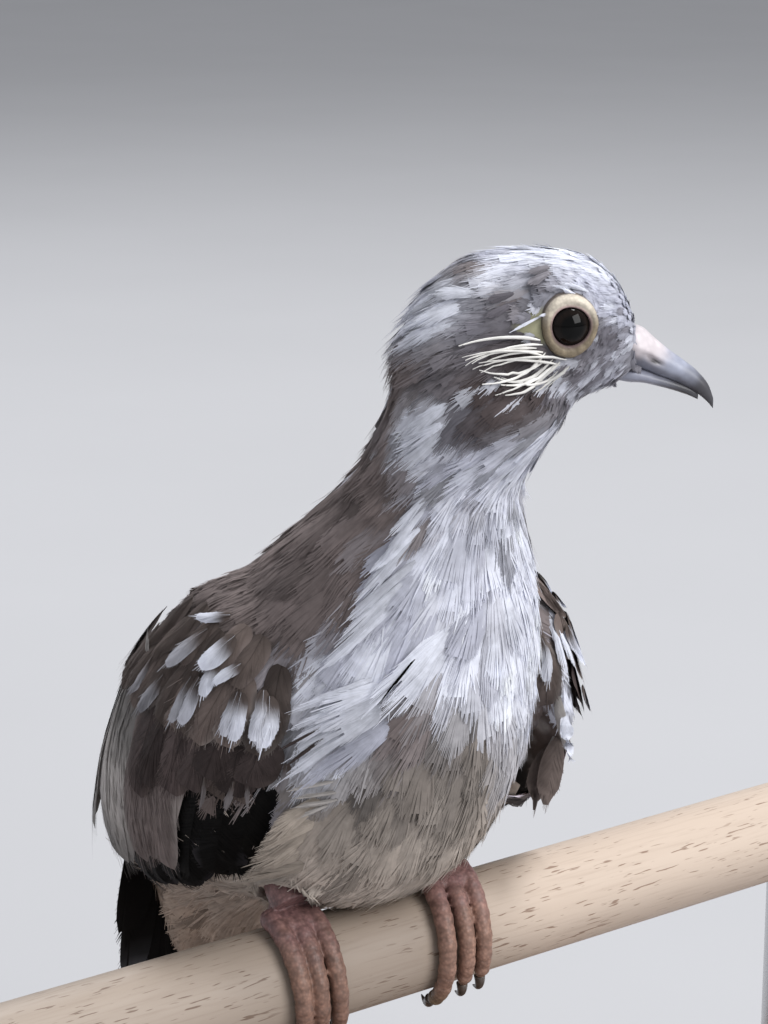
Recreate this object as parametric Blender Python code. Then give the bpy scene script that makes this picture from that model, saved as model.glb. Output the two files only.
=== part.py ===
"""A young diamond dove gripping a length of dowel, held over a flat display base.

The dove faces -Y, so its left is +X, and the perch runs along X. The origin is the middle of the
base's underside. Sizes are in millimetres, and each mesh is made in metres.
"""

import math

import bmesh
import bpy
import numpy as np
from mathutils import Vector

MM = 0.001
GAP = 0.3

# The stand and the perch, whose ends are chamfered.
BASE_LENGTH = 150.0
BASE_WIDTH = 112.0
BASE_THICKNESS = 10.0
BASE_CORNER = 9.0
BASE_BEVEL = 1.5
BASE_CORNER_STEPS = 6
ROD_RADIUS = 4.0
ROD_SPACING = 124.0
ROD_POINTS = 16
PERCH_RADIUS = 6.0
PERCH_LENGTH = 136.0
PERCH_CHAMFER = 0.6
PERCH_HEIGHT = 72.0
PERCH_POINTS = 24
SHARP_ANGLE = math.radians(40.0)

# Where the dove stands: the point of the perch's axis between its feet, from the base's middle.
# Every place below is seen from that point.
DOVE_X = -6.0
DOVE_Y = -8.0

# Trunk and neck sections: the back point and the front point (x, y, z), and the half width.
NECK_FOOT = ((-0.5, -3.4, 61.0), (0.5, -21.6, 57.5), 9.2)
TRUNK = [
    ((0, 40.0, -15.0), (0, 35.0, -16.5), 2.5),
    ((0, 41.0, -8.0), (0, 29.0, -12.0), 6.0),
    ((0, 41.0, 1.0), (0, 22.0, -4.5), 9.5),
    ((0, 39.5, 11.0), (0, 12.5, 2.5), 14.0),
    ((0, 35.5, 21.5), (0, 0.5, 4.6), 18.0),
    ((0, 30.0, 31.0), (0, -9.5, 10.5), 19.8),
    ((0, 23.5, 38.5), (0, -16.0, 20.0), 20.0),
    ((0, 16.5, 44.6), (0, -19.8, 31.5), 18.2),
    ((0, 8.8, 50.3), (0, -21.2, 42.0), 15.4),
    ((0, 1.8, 56.0), (0, -21.6, 51.0), 11.8),
    NECK_FOOT,
]
NECK = [
    NECK_FOOT,
    ((-2.0, -6.6, 66.0), (3.2, -24.9, 62.5), 9.0),
    ((-4.0, -9.2, 71.0), (6.5, -26.6, 67.0), 8.8),
    ((-2.5, -13.0, 75.0), (5.0, -24.0, 72.5), 6.4),
]
TRUNK_STEPS = 20
NECK_STEPS = 7
BODY_POINTS = 26

# The middle of the head at eye level, and how far the head is turned to the dove's left.
HEAD_PLACE = (8.1, -22.6, 76.5)
HEAD_YAW = math.radians(54.0)

# Head and bill sections, front to back or root to tip: how far in front of the eyes, the top, the
# bottom and the half width.
HEAD = [
    (8.3, -2.7, -5.2, 1.5),
    (7.8, -0.5, -6.3, 2.8),
    (6.5, 2.6, -7.2, 4.0),
    (4.7, 5.2, -8.1, 5.0),
    (2.2, 6.8, -9.2, 5.9),
    (-1.0, 7.6, -10.8, 6.6),
    (-4.3, 8.0, -11.8, 7.1),
    (-7.8, 7.8, -12.2, 7.4),
    (-11.2, 6.8, -12.0, 7.1),
    (-14.2, 3.9, -11.4, 6.2),
    (-16.6, -0.6, -10.2, 4.6),
    (-18.0, -3.8, -8.4, 2.4),
    (-18.3, -5.0, -7.4, 1.2),
]
HEAD_STEPS = 19
HEAD_POINTS = 20
BILL_UPPER = [
    (5.4, -1.6, -4.9, 2.0),
    (6.8, -1.2, -5.1, 2.5),
    (8.1, -1.4, -5.4, 2.4),
    (9.5, -2.5, -6.0, 2.0),
    (10.9, -3.6, -6.5, 1.6),
    (12.3, -4.6, -7.1, 1.25),
    (13.7, -5.7, -7.9, 0.95),
    (14.9, -7.1, -8.9, 0.6),
    (15.5, -8.6, -9.6, 0.22),
]
BILL_LOWER = [
    (5.0, -5.3, -6.5, 1.7),
    (6.6, -5.4, -7.0, 2.1),
    (8.1, -5.7, -7.3, 1.85),
    (9.6, -6.35, -7.7, 1.5),
    (11.2, -7.0, -8.3, 1.1),
    (12.8, -7.8, -8.9, 0.75),
    (14.0, -8.6, -9.4, 0.35),
]
BILL_STEPS = 10
BILL_POINTS = 10

# Eyes: how far their middles lie from the head's, and how far they look forward. The bare ring and
# the socket lie further out along the way that the eye looks, and are taller than wide.
EYE_RADIUS = 2.5
EYE_DEPTH = 4.2
EYE_SWING = math.radians(10.0)
EYE_POINTS = 14
RING_RADIUS = 2.5
RING_TUBE = 0.62
RING_OUT = 1.65
RING_TALL = 1.12
RING_STEPS = 18
RING_POINTS = 6
SOCKET_RADII = (4.2, 3.45, 3.85)
SOCKET_OUT = 0.9
SOCKET_POINTS = 16

# Wing sections from the wrist back to the tip: the upper edge and the lower edge (y, z), how far out
# the middle lies, and the half thickness. The upper edge curls in over the back.
WING = [
    ((-5.5, 39.5), (-7.6, 34.5), 15.5, 1.2),
    ((-4.0, 45.0), (-8.6, 28.5), 17.0, 2.6),
    ((1.0, 47.2), (-5.0, 21.3), 18.6, 3.6),
    ((9.0, 46.3), (1.0, 15.2), 19.6, 4.1),
    ((17.8, 41.5), (8.0, 10.2), 19.4, 4.1),
    ((25.8, 33.6), (16.0, 6.6), 17.8, 3.6),
    ((32.0, 23.8), (24.2, 3.6), 15.8, 2.8),
    ((35.8, 13.5), (31.2, 2.0), 14.0, 1.9),
    ((36.4, 6.4), (35.0, 2.6), 13.0, 1.0),
]
WING_STEPS = 16
WING_POINTS = 18
WING_CURL = 7.0

# For each wing, how far it stands off, how far its lower edge tucks in under the belly, and how far
# that edge droops.
WING_HANG = {"right": (0.0, 2.5, 0.0), "left": (3.2, -1.8, 2.0)}

# The line (y, z) where the coverts end over the flight feathers, and the wall that parts them there:
# how far out it begins and ends, and how high it is.
COVERT_EDGE = [(-14.5, 26.5), (-2.0, 26.0), (10.0, 24.5), (21.0, 24.0), (31.0, 29.0), (42.0, 40.0)]
WALL_INNER = 2.0
WALL_OUTER = 40.0
WALL_HEIGHT = 40.0
WALL_STEPS = 16

# Tail sections down its length: the middle (y, z), the half width and the half thickness.
TAIL = [
    ((37.5, 14.0), 4.8, 1.5),
    ((41.5, 6.0), 5.8, 1.6),
    ((43.8, -4.0), 6.4, 1.5),
    ((45.4, -16.0), 6.6, 1.2),
    ((47.0, -27.0), 5.4, 1.0),
    ((48.3, -36.0), 3.9, 0.8),
    ((49.4, -43.0), 2.4, 0.6),
    ((49.9, -46.5), 1.0, 0.4),
]
TAIL_STEPS = 14
TAIL_POINTS = 12

# A shank from inside the belly down to the perch: the middle (y, z) and the radius.
SHANK = [(7.5, 17.0, 1.5), (3.5, 13.0, 1.7), (0.8, 10.4, 2.0), (-0.8, 8.9, 2.3)]
SHANK_STEPS = 7
SHANK_POINTS = 10

# Each toe: where along the perch it starts and ends, and the angle round the perch that it ends at.
# Angles run forward from the perch's top, so the hind toes' are negative.
TOES = {
    "right": {
        "outer": (-14.0, -11.9, 148.0),
        "middle": (-11.6, -9.6, 158.0),
        "inner": (-9.2, -7.2, 143.0),
        "hind": (-11.0, -10.6, -96.0),
    },
    "left": {
        "outer": (12.3, 12.3, 122.0),
        "middle": (9.8, 9.9, 126.0),
        "inner": (7.3, 6.9, 157.0),
        "hind": (9.6, 9.0, -96.0),
    },
}
FRONT_TOE_START = -8.0
HIND_TOE_START = -20.0
TOE_RADIUS = 1.2
TOE_TAPER = 0.3
TOE_END_NARROWING = 0.65
TOE_LEAN = -1.7
TOE_STEPS = 10
TOE_POINTS = 7
CLAW_RADIUS = 0.62
CLAW_TAPER = 0.85
CLAW_LENGTH = 2.6
CLAW_ARCH = 0.55
CLAW_STEPS = 5
CLAW_POINTS = 6

# Each finish's colour, roughness and metallic.
FINISHES = {
    "head": ((0.42, 0.40, 0.41), 0.8, 0.0),
    "neck": ((0.40, 0.39, 0.40), 0.8, 0.0),
    "trunk": ((0.62, 0.62, 0.66), 0.8, 0.0),
    "coverts": ((0.22, 0.19, 0.19), 0.7, 0.0),
    "flight_feathers": ((0.05, 0.045, 0.05), 0.6, 0.0),
    "bill": ((0.16, 0.16, 0.19), 0.35, 0.0),
    "eye": ((0.01, 0.008, 0.008), 0.05, 0.0),
    "eye_ring": ((0.80, 0.76, 0.58), 0.55, 0.0),
    "foot": ((0.42, 0.26, 0.26), 0.6, 0.0),
    "claw": ((0.07, 0.055, 0.05), 0.35, 0.0),
    "beech": ((0.66, 0.49, 0.35), 0.5, 0.0),
    "walnut": ((0.16, 0.09, 0.055), 0.4, 0.0),
    "steel": ((0.62, 0.62, 0.62), 0.3, 1.0),
}


def clear_scene():
    for obj in list(bpy.data.objects):
        bpy.data.objects.remove(obj, do_unlink=True)


def material(name):
    """The Principled material of one finish."""
    made = bpy.data.materials.get(name)
    if made is None:
        colour, roughness, metallic = FINISHES[name]
        made = bpy.data.materials.new(name)
        made.use_nodes = True
        shader = made.node_tree.nodes["Principled BSDF"]
        shader.inputs["Base Color"].default_value = (*colour, 1.0)
        shader.inputs["Roughness"].default_value = roughness
        shader.inputs["Metallic"].default_value = metallic
    return made


def frame(name, location, parent=None, yaw=0.0):
    """An empty that pieces are placed in."""
    empty = bpy.data.objects.new(name, None)
    bpy.context.scene.collection.objects.link(empty)
    empty.location = [value * MM for value in location]
    empty.rotation_euler = (0.0, 0.0, yaw)
    empty.parent = parent
    return empty


def piece(name, shape, finish, parent):
    """One named object from a bmesh whose sizes are in millimetres."""
    bmesh.ops.scale(shape, vec=(MM, MM, MM), verts=shape.verts)
    bmesh.ops.recalc_face_normals(shape, faces=shape.faces[:])
    mesh = bpy.data.meshes.new(name)
    shape.to_mesh(mesh)
    shape.free()
    mesh.materials.append(material(finish))
    mesh.shade_smooth()
    obj = bpy.data.objects.new(name, mesh)
    bpy.context.scene.collection.objects.link(obj)
    obj.parent = parent
    return obj


def turn_steps(count):
    """Even angles round a whole turn."""
    return np.linspace(0.0, 2.0 * math.pi, count, endpoint=False)


def smooth_rows(rows, count):
    """Rows of numbers read at even steps along a smooth curve through the given rows."""
    rows = np.array(rows, float)
    padded = np.vstack([2 * rows[0] - rows[1], rows, 2 * rows[-1] - rows[-2]])
    made = []
    for step in np.linspace(0, len(rows) - 1, count):
        index = min(int(step), len(rows) - 2)
        t = step - index
        a, b, c, d = padded[index : index + 4]
        straight = (c - a) * t
        bend = (2 * a - 5 * b + 4 * c - d) * t**2
        twist = (3 * b - a - 3 * c + d) * t**3
        made.append((2 * b + straight + bend + twist) / 2)
    return np.array(made)


def join_rings(shape, ring, after):
    """A band of four-sided faces between two rings of points."""
    for i in range(len(ring)):
        j = (i + 1) % len(ring)
        shape.faces.new((ring[i], ring[j], after[j], after[i]))


def loft(name, loops, finish, parent):
    """A closed skin over a row of loops of points, with its ends filled."""
    shape = bmesh.new()
    rings = [[shape.verts.new(point) for point in loop] for loop in loops]
    for ring, after in zip(rings, rings[1:]):
        join_rings(shape, ring, after)
    for ring in (rings[0], rings[-1]):
        middle = shape.verts.new(sum((vert.co for vert in ring), Vector((0.0, 0.0, 0.0))) / len(ring))
        for i in range(len(ring)):
            shape.faces.new((ring[i], ring[(i + 1) % len(ring)], middle))
    return piece(name, shape, finish, parent)


def ball(name, radii, points, finish, parent):
    """A ball or an egg, by its three radii."""
    shape = bmesh.new()
    bmesh.ops.create_uvsphere(shape, u_segments=points, v_segments=points // 2 + 1, radius=1.0)
    bmesh.ops.scale(shape, vec=radii, verts=shape.verts)
    return piece(name, shape, finish, parent)


def hide(cutter):
    """Leaves a piece out of the model, so that it only cuts."""
    cutter.hide_render = True
    cutter.display_type = "WIRE"
    return cutter


def clearance(obj):
    """A cutter: the piece's own shape, swelled by the gap all round."""
    mesh = obj.data.copy()
    normals = [vert.normal.copy() for vert in mesh.vertices]
    for vert, normal in zip(mesh.vertices, normals):
        vert.co += normal * GAP * MM
    cutter = bpy.data.objects.new(obj.name + "_clearance", mesh)
    bpy.context.scene.collection.objects.link(cutter)
    cutter.parent = obj.parent
    cutter.location = obj.location
    cutter.rotation_euler = obj.rotation_euler
    return hide(cutter)


def cut(obj, cutter, solver="EXACT"):
    """Takes the cutter's space out of the piece."""
    boolean = obj.modifiers.new(cutter.name, "BOOLEAN")
    boolean.operation = "DIFFERENCE"
    boolean.solver = solver
    boolean.object = cutter


def body_loops(sections, steps):
    """Level-sided ovals from each section's back point to its front point."""
    loops = []
    for row in smooth_rows([(*back, *front, width) for back, front, width in sections], steps):
        back, front, half_width = row[:3], row[3:6], row[6]
        middle, reach = (back + front) / 2, (back - front) / 2
        side = np.cross((0.0, 0.0, 1.0), reach)
        side *= half_width / np.linalg.norm(side)
        loops.append([middle + reach * math.cos(a) + side * math.sin(a) for a in turn_steps(BODY_POINTS)])
    return loops


def upright_loops(sections, steps, points):
    """Upright ovals across the head's own axis, which runs along -Y."""
    loops = []
    for ahead, top, bottom, half_width in smooth_rows(sections, steps):
        middle, reach = (top + bottom) / 2, (top - bottom) / 2
        loops.append(
            [(half_width * math.sin(a), -ahead, middle + reach * math.cos(a)) for a in turn_steps(points)]
        )
    return loops


def make_bill(head_frame, head):
    """The two halves of the bill, each a tapered curve, and the seats they take in the head."""
    for name, sections in (("bill_upper", BILL_UPPER), ("bill_lower", BILL_LOWER)):
        half = loft(name, upright_loops(sections, BILL_STEPS, BILL_POINTS), "bill", head_frame)
        cut(head, clearance(half))


def make_ring(name, parent):
    """The rounded hoop of bare skin round an eye, square to X."""
    shape = bmesh.new()
    rings = []
    for around in turn_steps(RING_STEPS):
        direction = np.array((0.0, math.cos(around), RING_TALL * math.sin(around)))
        rings.append(
            [
                shape.verts.new(
                    direction * (RING_RADIUS + RING_TUBE * math.cos(across))
                    + (RING_TUBE * math.sin(across), 0.0, 0.0)
                )
                for across in turn_steps(RING_POINTS)
            ]
        )
    for i, ring in enumerate(rings):
        join_rings(shape, ring, rings[(i + 1) % len(rings)])
    return piece(name, shape, "eye_ring", parent)


def make_eye(head_frame, head, side, sign):
    """An eyeball and the ring round it, set into a socket in the head's side."""
    look = Vector((sign * math.cos(EYE_SWING), -math.sin(EYE_SWING), 0.0))
    turn = math.atan2(look.y, look.x)
    place = Vector((sign * EYE_DEPTH, 0.0, 0.0))

    eye = ball(f"eye_{side}", (EYE_RADIUS, EYE_RADIUS, EYE_RADIUS), EYE_POINTS, "eye", head_frame)
    eye.location = place * MM

    ring = make_ring(f"eye_ring_{side}", head_frame)
    ring.location = (place + look * RING_OUT) * MM
    ring.rotation_euler = (0.0, 0.0, turn)
    cut(ring, clearance(eye))

    socket = hide(ball(f"socket_{side}", SOCKET_RADII, SOCKET_POINTS, "head", head_frame))
    socket.location = (place + look * SOCKET_OUT) * MM
    socket.rotation_euler = (0.0, 0.0, turn)
    cut(head, socket)


def wing_loops(side, sign):
    """A wing's cross-sections: thin leaves, each curled in over the back."""
    stand_off, tuck, droop = WING_HANG[side]
    loops = []
    for row in smooth_rows([(*upper, *lower, out, half) for upper, lower, out, half in WING], WING_STEPS):
        upper, lower = row[:2], row[2:4] - (droop / 2, droop)
        out, half_thickness = row[4] + stand_off, row[5]
        middle, reach = (upper + lower) / 2, (upper - lower) / 2
        loop = []
        for angle in turn_steps(WING_POINTS):
            along = math.cos(angle)
            curl = WING_CURL * max(along, 0.0) ** 2 + tuck * min(along, 0.0) ** 2
            x = out - curl + half_thickness * math.sin(angle)
            loop.append((sign * x, *(middle + reach * along)))
        loops.append(loop)
    return loops


def covert_wall(name, sign, low, high, parent):
    """A wall that follows the coverts' lower edge, from low to high beside it."""
    corners = ((WALL_INNER, low), (WALL_OUTER, low), (WALL_OUTER, high), (WALL_INNER, high))
    blocks = [
        [(sign * x, y, z + rise) for x, rise in corners] for y, z in smooth_rows(COVERT_EDGE, WALL_STEPS)
    ]
    return hide(loft(name, blocks, "coverts", parent))


def make_wing(dove, trunk_clearance, side, sign):
    """A folded wing in two pieces: the covert-clad arm, and the flight feathers under it."""
    loops = wing_loops(side, sign)
    under = covert_wall(f"wall_under_{side}", sign, -WALL_HEIGHT, GAP, dove)
    over = covert_wall(f"wall_over_{side}", sign, 0.0, WALL_HEIGHT, dove)
    for name, finish, wall in (("coverts", "coverts", under), ("flights", "flight_feathers", over)):
        part = loft(f"wing_{side}_{name}", loops, finish, dove)
        cut(part, trunk_clearance, "MANIFOLD")
        cut(part, wall, "MANIFOLD")


def make_tail(dove, trunk_clearance):
    """The closed tail, a thin blade that narrows to its longest middle feathers."""
    loops = []
    for y, z, half_width, half_thickness in smooth_rows([(*mid, w, t) for mid, w, t in TAIL], TAIL_STEPS):
        loops.append(
            [
                (half_width * math.sin(a), y + half_thickness * math.cos(a), z)
                for a in turn_steps(TAIL_POINTS)
            ]
        )
    cut(loft("tail", loops, "flight_feathers", dove), trunk_clearance)


def tube(name, path, radii, points, finish, parent):
    """A round limb along a path that stays nearly square to X."""
    path = np.array(path, float)
    loops = []
    for point, way, radius in zip(path, np.gradient(path, axis=0), radii):
        across = np.cross(way, (1.0, 0.0, 0.0))
        across /= np.linalg.norm(across)
        other = np.cross(way, across) / np.linalg.norm(way)
        loops.append(
            [point + radius * (across * math.cos(a) + other * math.sin(a)) for a in turn_steps(points)]
        )
    return loft(name, loops, finish, parent)


def round_perch(x, angle, radius):
    """The point at an angle round the perch, from its top towards the front."""
    return (x, -radius * math.sin(angle), radius * math.cos(angle))


def make_shank(dove, trunk, perch_clearance, side):
    """The shank, which comes out of the belly over the perch, and the clearance that the toes keep."""
    hub_x = TOES[side]["middle"][0]
    rows = smooth_rows(SHANK, SHANK_STEPS)
    path = [(hub_x, y, z) for y, z, _ in rows]
    shank = tube(f"shank_{side}", path, rows[:, 2], SHANK_POINTS, "foot", dove)
    cut(shank, perch_clearance)
    shank_clearance = clearance(shank)
    cut(trunk, shank_clearance)
    return shank_clearance


def make_toe(dove, cutters, side, name):
    """One toe wrapped round the perch, and the claw that carries its curve on."""
    start_x, end_x, end_angle = TOES[side][name]
    start_angle = HIND_TOE_START if name == "hind" else FRONT_TOE_START
    grip = PERCH_RADIUS + GAP
    turns = np.radians(np.linspace(start_angle, end_angle, TOE_STEPS))
    along = np.linspace(0.0, 1.0, TOE_STEPS)
    radii = TOE_RADIUS * (1.0 - TOE_TAPER * along)
    places = start_x + (end_x - start_x) * along + TOE_LEAN * np.sin(turns)
    path = [round_perch(x, turn, grip + radius) for x, turn, radius in zip(places, turns, radii)]
    tip_height = grip + radii[-1]
    radii[[0, -1]] *= TOE_END_NARROWING
    toe = tube(f"toe_{side}_{name}", path, radii, TOE_POINTS, "foot", dove)
    for cutter in cutters:
        cut(toe, cutter)

    along = np.linspace(0.0, 1.0, CLAW_STEPS)
    turns = turns[-1] + math.copysign(CLAW_LENGTH / tip_height, end_angle) * along
    radii = CLAW_RADIUS * (1.0 - CLAW_TAPER * along**1.5)
    heights = tip_height + CLAW_ARCH * np.sin(math.pi * along)
    places = end_x + TOE_LEAN * np.sin(turns)
    path = [round_perch(x, turn, height) for x, turn, height in zip(places, turns, heights)]
    claw = tube(f"claw_{side}_{name}", path, radii, CLAW_POINTS, "claw", dove)
    cut(claw, clearance(toe))


def make_perch(root):
    """A dowel along X with chamfered ends."""
    half = PERCH_LENGTH / 2
    narrow = PERCH_RADIUS - PERCH_CHAMFER
    profile = (
        (-half, narrow),
        (-half + PERCH_CHAMFER, PERCH_RADIUS),
        (half - PERCH_CHAMFER, PERCH_RADIUS),
        (half, narrow),
    )
    loops = [[round_perch(x, a, radius) for a in turn_steps(PERCH_POINTS)] for x, radius in profile]
    perch = loft("perch", loops, "beech", root)
    perch.location = (0.0, DOVE_Y * MM, PERCH_HEIGHT * MM)
    perch.data.set_sharp_from_angle(angle=SHARP_ANGLE)
    return perch


def make_base(root):
    """A flat board with round corners and a bevelled upper edge."""
    outline = []
    for x_sign, y_sign, start in ((1, 1, 0.0), (-1, 1, 90.0), (-1, -1, 180.0), (1, -1, 270.0)):
        middle_x = x_sign * (BASE_LENGTH / 2 - BASE_CORNER)
        middle_y = y_sign * (BASE_WIDTH / 2 - BASE_CORNER)
        for turn in np.radians(np.linspace(start, start + 90.0, BASE_CORNER_STEPS)):
            outline.append((middle_x, middle_y, math.cos(turn), math.sin(turn)))
    levels = (
        (0.0, BASE_CORNER),
        (BASE_THICKNESS - BASE_BEVEL, BASE_CORNER),
        (BASE_THICKNESS, BASE_CORNER - BASE_BEVEL),
    )
    loops = [
        [(x + radius * out_x, y + radius * out_y, z) for x, y, out_x, out_y in outline]
        for z, radius in levels
    ]
    base = loft("stand_base", loops, "walnut", root)
    base.data.set_sharp_from_angle(angle=SHARP_ANGLE)


def make_rods(root, perch_clearance):
    """Two upright rods from the base to the perch's underside."""
    for side, sign in (("right", -1), ("left", 1)):
        loops = [
            [(ROD_RADIUS * math.cos(a), ROD_RADIUS * math.sin(a), z) for a in turn_steps(ROD_POINTS)]
            for z in (BASE_THICKNESS + GAP, PERCH_HEIGHT)
        ]
        rod = loft(f"stand_rod_{side}", loops, "steel", root)
        rod.location = (sign * ROD_SPACING / 2 * MM, DOVE_Y * MM, 0.0)
        rod.data.set_sharp_from_angle(angle=SHARP_ANGLE)
        cut(rod, perch_clearance)


def main():
    clear_scene()
    root = frame("stand", (0.0, 0.0, 0.0))
    dove = frame("dove", (DOVE_X, DOVE_Y, PERCH_HEIGHT), root)
    head_frame = frame("head_frame", HEAD_PLACE, dove, HEAD_YAW)

    make_base(root)
    perch_clearance = clearance(make_perch(root))
    make_rods(root, perch_clearance)

    trunk = loft("trunk", body_loops(TRUNK, TRUNK_STEPS), "trunk", dove)
    trunk_clearance = clearance(trunk)
    cut(trunk, perch_clearance)
    neck = loft("neck", body_loops(NECK, NECK_STEPS), "neck", dove)
    head = loft("head", upright_loops(HEAD, HEAD_STEPS, HEAD_POINTS), "head", head_frame)
    cut(neck, trunk_clearance)
    cut(neck, clearance(head))
    make_bill(head_frame, head)
    make_tail(dove, trunk_clearance)
    for side, sign in (("right", -1), ("left", 1)):
        make_eye(head_frame, head, side, sign)
        make_wing(dove, trunk_clearance, side, sign)
        shank_clearance = make_shank(dove, trunk, perch_clearance, side)
        for name in TOES[side]:
            make_toe(dove, (shank_clearance, trunk_clearance), side, name)


main()
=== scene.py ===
"""A young diamond dove in scruffy moulting plumage, on a dowel perch over a plain display base.

Every place below is in millimetres from the dove's own middle: the point of the perch's axis
between its feet. The dove faces -Y and its left is +X. Places on the head are in the head's own
frame, whose middle lies between the eyes: it too faces -Y and has its left at +X.
"""

import math
from itertools import product

import bmesh
import bpy
import numpy as np
from bpy.props import FloatProperty, FloatVectorProperty, IntProperty, PointerProperty
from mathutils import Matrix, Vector
from mathutils.bvhtree import BVHTree

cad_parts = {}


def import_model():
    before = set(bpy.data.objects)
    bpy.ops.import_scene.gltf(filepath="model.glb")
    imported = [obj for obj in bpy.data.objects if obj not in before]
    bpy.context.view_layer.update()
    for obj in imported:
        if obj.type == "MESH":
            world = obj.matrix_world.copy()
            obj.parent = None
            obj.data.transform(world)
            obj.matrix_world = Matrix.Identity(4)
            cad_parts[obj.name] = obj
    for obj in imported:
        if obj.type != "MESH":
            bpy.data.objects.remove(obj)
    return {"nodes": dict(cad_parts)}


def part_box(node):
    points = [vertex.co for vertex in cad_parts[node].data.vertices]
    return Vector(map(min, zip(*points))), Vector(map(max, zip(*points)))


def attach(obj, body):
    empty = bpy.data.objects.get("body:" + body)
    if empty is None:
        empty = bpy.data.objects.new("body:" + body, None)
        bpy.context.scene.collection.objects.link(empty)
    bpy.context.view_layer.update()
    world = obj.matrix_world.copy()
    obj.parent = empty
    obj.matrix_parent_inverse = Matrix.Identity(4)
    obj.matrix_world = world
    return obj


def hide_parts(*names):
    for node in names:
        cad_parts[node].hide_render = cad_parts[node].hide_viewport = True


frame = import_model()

bl_info = {
    "name": "Diamond Dove on a Perch",
    "version": (1, 0, 0),
    "blender": (4, 5, 0),
    "location": "3D View > Sidebar > Dove",
    "description": "Builds a life-size diamond dove with separate feathers, its perch and its stand",
    "category": "Add Mesh",
}

MM = 0.001
FLESH = ("head", "neck", "trunk", "wing_right_coverts", "wing_right_flights")
FLESH += ("wing_left_coverts", "wing_left_flights", "tail")
SIDES = (("right", -1), ("left", 1))
TOES = ("outer", "middle", "inner", "hind")


def middle(node):
    low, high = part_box(node)
    return (np.array(low) + np.array(high)) / 2


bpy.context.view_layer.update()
DOVE = np.array((middle("trunk")[0], *middle("perch")[1:]))
HEAD = ((middle("eye_left") + middle("eye_right")) / 2 - DOVE) / MM
HEAD_SIDEWAYS = middle("eye_left") - middle("eye_right")
HEAD_YAW = math.atan2(HEAD_SIDEWAYS[1], HEAD_SIDEWAYS[0])
YAW_COS, YAW_SIN = math.cos(HEAD_YAW), math.sin(HEAD_YAW)
HEAD_TURN = np.array(((YAW_COS, -YAW_SIN, 0.0), (YAW_SIN, YAW_COS, 0.0), (0.0, 0.0, 1.0)))


def middle_of(node):
    """A node's middle in millimetres from the dove's middle."""
    return (middle(node) - DOVE) / MM


def corners_of(node):
    """The low and the high corner of a node's box in millimetres from the dove's middle."""
    return ((np.array(corner) - DOVE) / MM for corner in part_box(node))


def on_head(places):
    """Places in the head's frame, as seen from the dove's middle."""
    return np.asarray(places, float) @ HEAD_TURN.T + HEAD


def from_head(places):
    """Places seen from the dove's middle, in the head's frame."""
    return (np.asarray(places, float) - HEAD) @ HEAD_TURN


# ---- Settings ----


def colour(name, description, default):
    return FloatVectorProperty(
        name=name, description=description, subtype="COLOR", size=3, min=0.0, max=1.0, default=default
    )


def number(name, description, default, **limits):
    return FloatProperty(name=name, description=description, default=default, **limits)


def length(name, description, default):
    return number(name, description, default * MM, unit="LENGTH", precision=5)


def power(name, description, default):
    return number(name, description, default, unit="POWER")


class DovePlumageSettings(bpy.types.PropertyGroup):
    """Colours and sizes of the feathers."""

    white: colour("White", "Breast and the brightest crown feathers", (0.82, 0.84, 0.93))
    blue_grey: colour("Blue Grey", "Forehead, crown and the sides of the neck", (0.52, 0.53, 0.62))
    smoke: colour("Smoke", "Greyer head feathers, throat and chin", (0.27, 0.255, 0.28))
    dusk: colour("Dusk", "Sides of the head behind the eyes", (0.14, 0.13, 0.148))
    sepia: colour("Sepia", "Nape, ear patch and the moulted patches", (0.066, 0.050, 0.048))
    umber: colour("Umber", "Mantle and back", (0.205, 0.168, 0.160))
    covert: colour("Covert", "Small wing feathers", (0.125, 0.098, 0.088))
    buff: colour("Buff", "Belly down", (0.31, 0.265, 0.225))
    # Fluff is the buff painted paler: painted light bounced up from below onto the low belly and the low
    # flank.
    fluff: colour("Fluff", "Paler down low on the belly", (0.47, 0.405, 0.345))
    vent: colour("Vent", "Undertail fluff", (0.35, 0.27, 0.215))
    tertial: colour("Tertial", "Soft innermost wing quills", (0.46, 0.43, 0.41))
    black: colour("Black", "Flight feathers and tail", (0.0040, 0.0035, 0.0035))
    sheath: colour("Sheath", "White sheaths of the pin feathers", (0.93, 0.91, 0.87))
    bare: colour("Bare Skin", "Greenish skin behind the eyes", (0.33, 0.32, 0.21))
    skin_shade: number("Skin Shade", "How much darker the down at the skin is", 0.2, min=0, max=1)
    coat_depth: length("Coat Depth", "Depth of the feathers over the body's skin", 1.15)
    face_depth: length("Face Depth", "Depth of the feathers over the face's skin", 0.55)
    seed: IntProperty(name="Seed", description="Arrangement of the feathers", default=11)


class DoveBareSettings(bpy.types.PropertyGroup):
    """Colours and sizes of the bare parts."""

    eye_radius: length("Eye Radius", "Radius of the eyeball", 2.5)
    iris: colour("Iris", "Almost black-brown iris", (0.008, 0.005, 0.004))
    ring: colour("Eye Ring", "Bare skin round the eye", (0.70, 0.63, 0.52))
    lid: colour("Eyelid", "Inner edge of the eyelids", (0.50, 0.34, 0.33))
    bill_root: colour("Bill Root", "Swollen cere over the nostrils", (0.66, 0.60, 0.62))
    bill_middle: colour("Bill Middle", "Blue-grey middle of the bill", (0.36, 0.38, 0.47))
    bill_slate: colour("Bill Slate", "Lower edge of the upper bill", (0.19, 0.195, 0.24))
    bill_tip: colour("Bill Tip", "Dark horn of the tip", (0.06, 0.058, 0.066))
    foot: colour("Foot", "Mauve skin of the upper foot", (0.26, 0.14, 0.135))
    toe: colour("Toe", "Olive-tan skin towards the toes' tips", (0.30, 0.168, 0.122))
    claw: colour("Claw", "Dark horn of the claws", (0.060, 0.045, 0.036))


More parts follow.
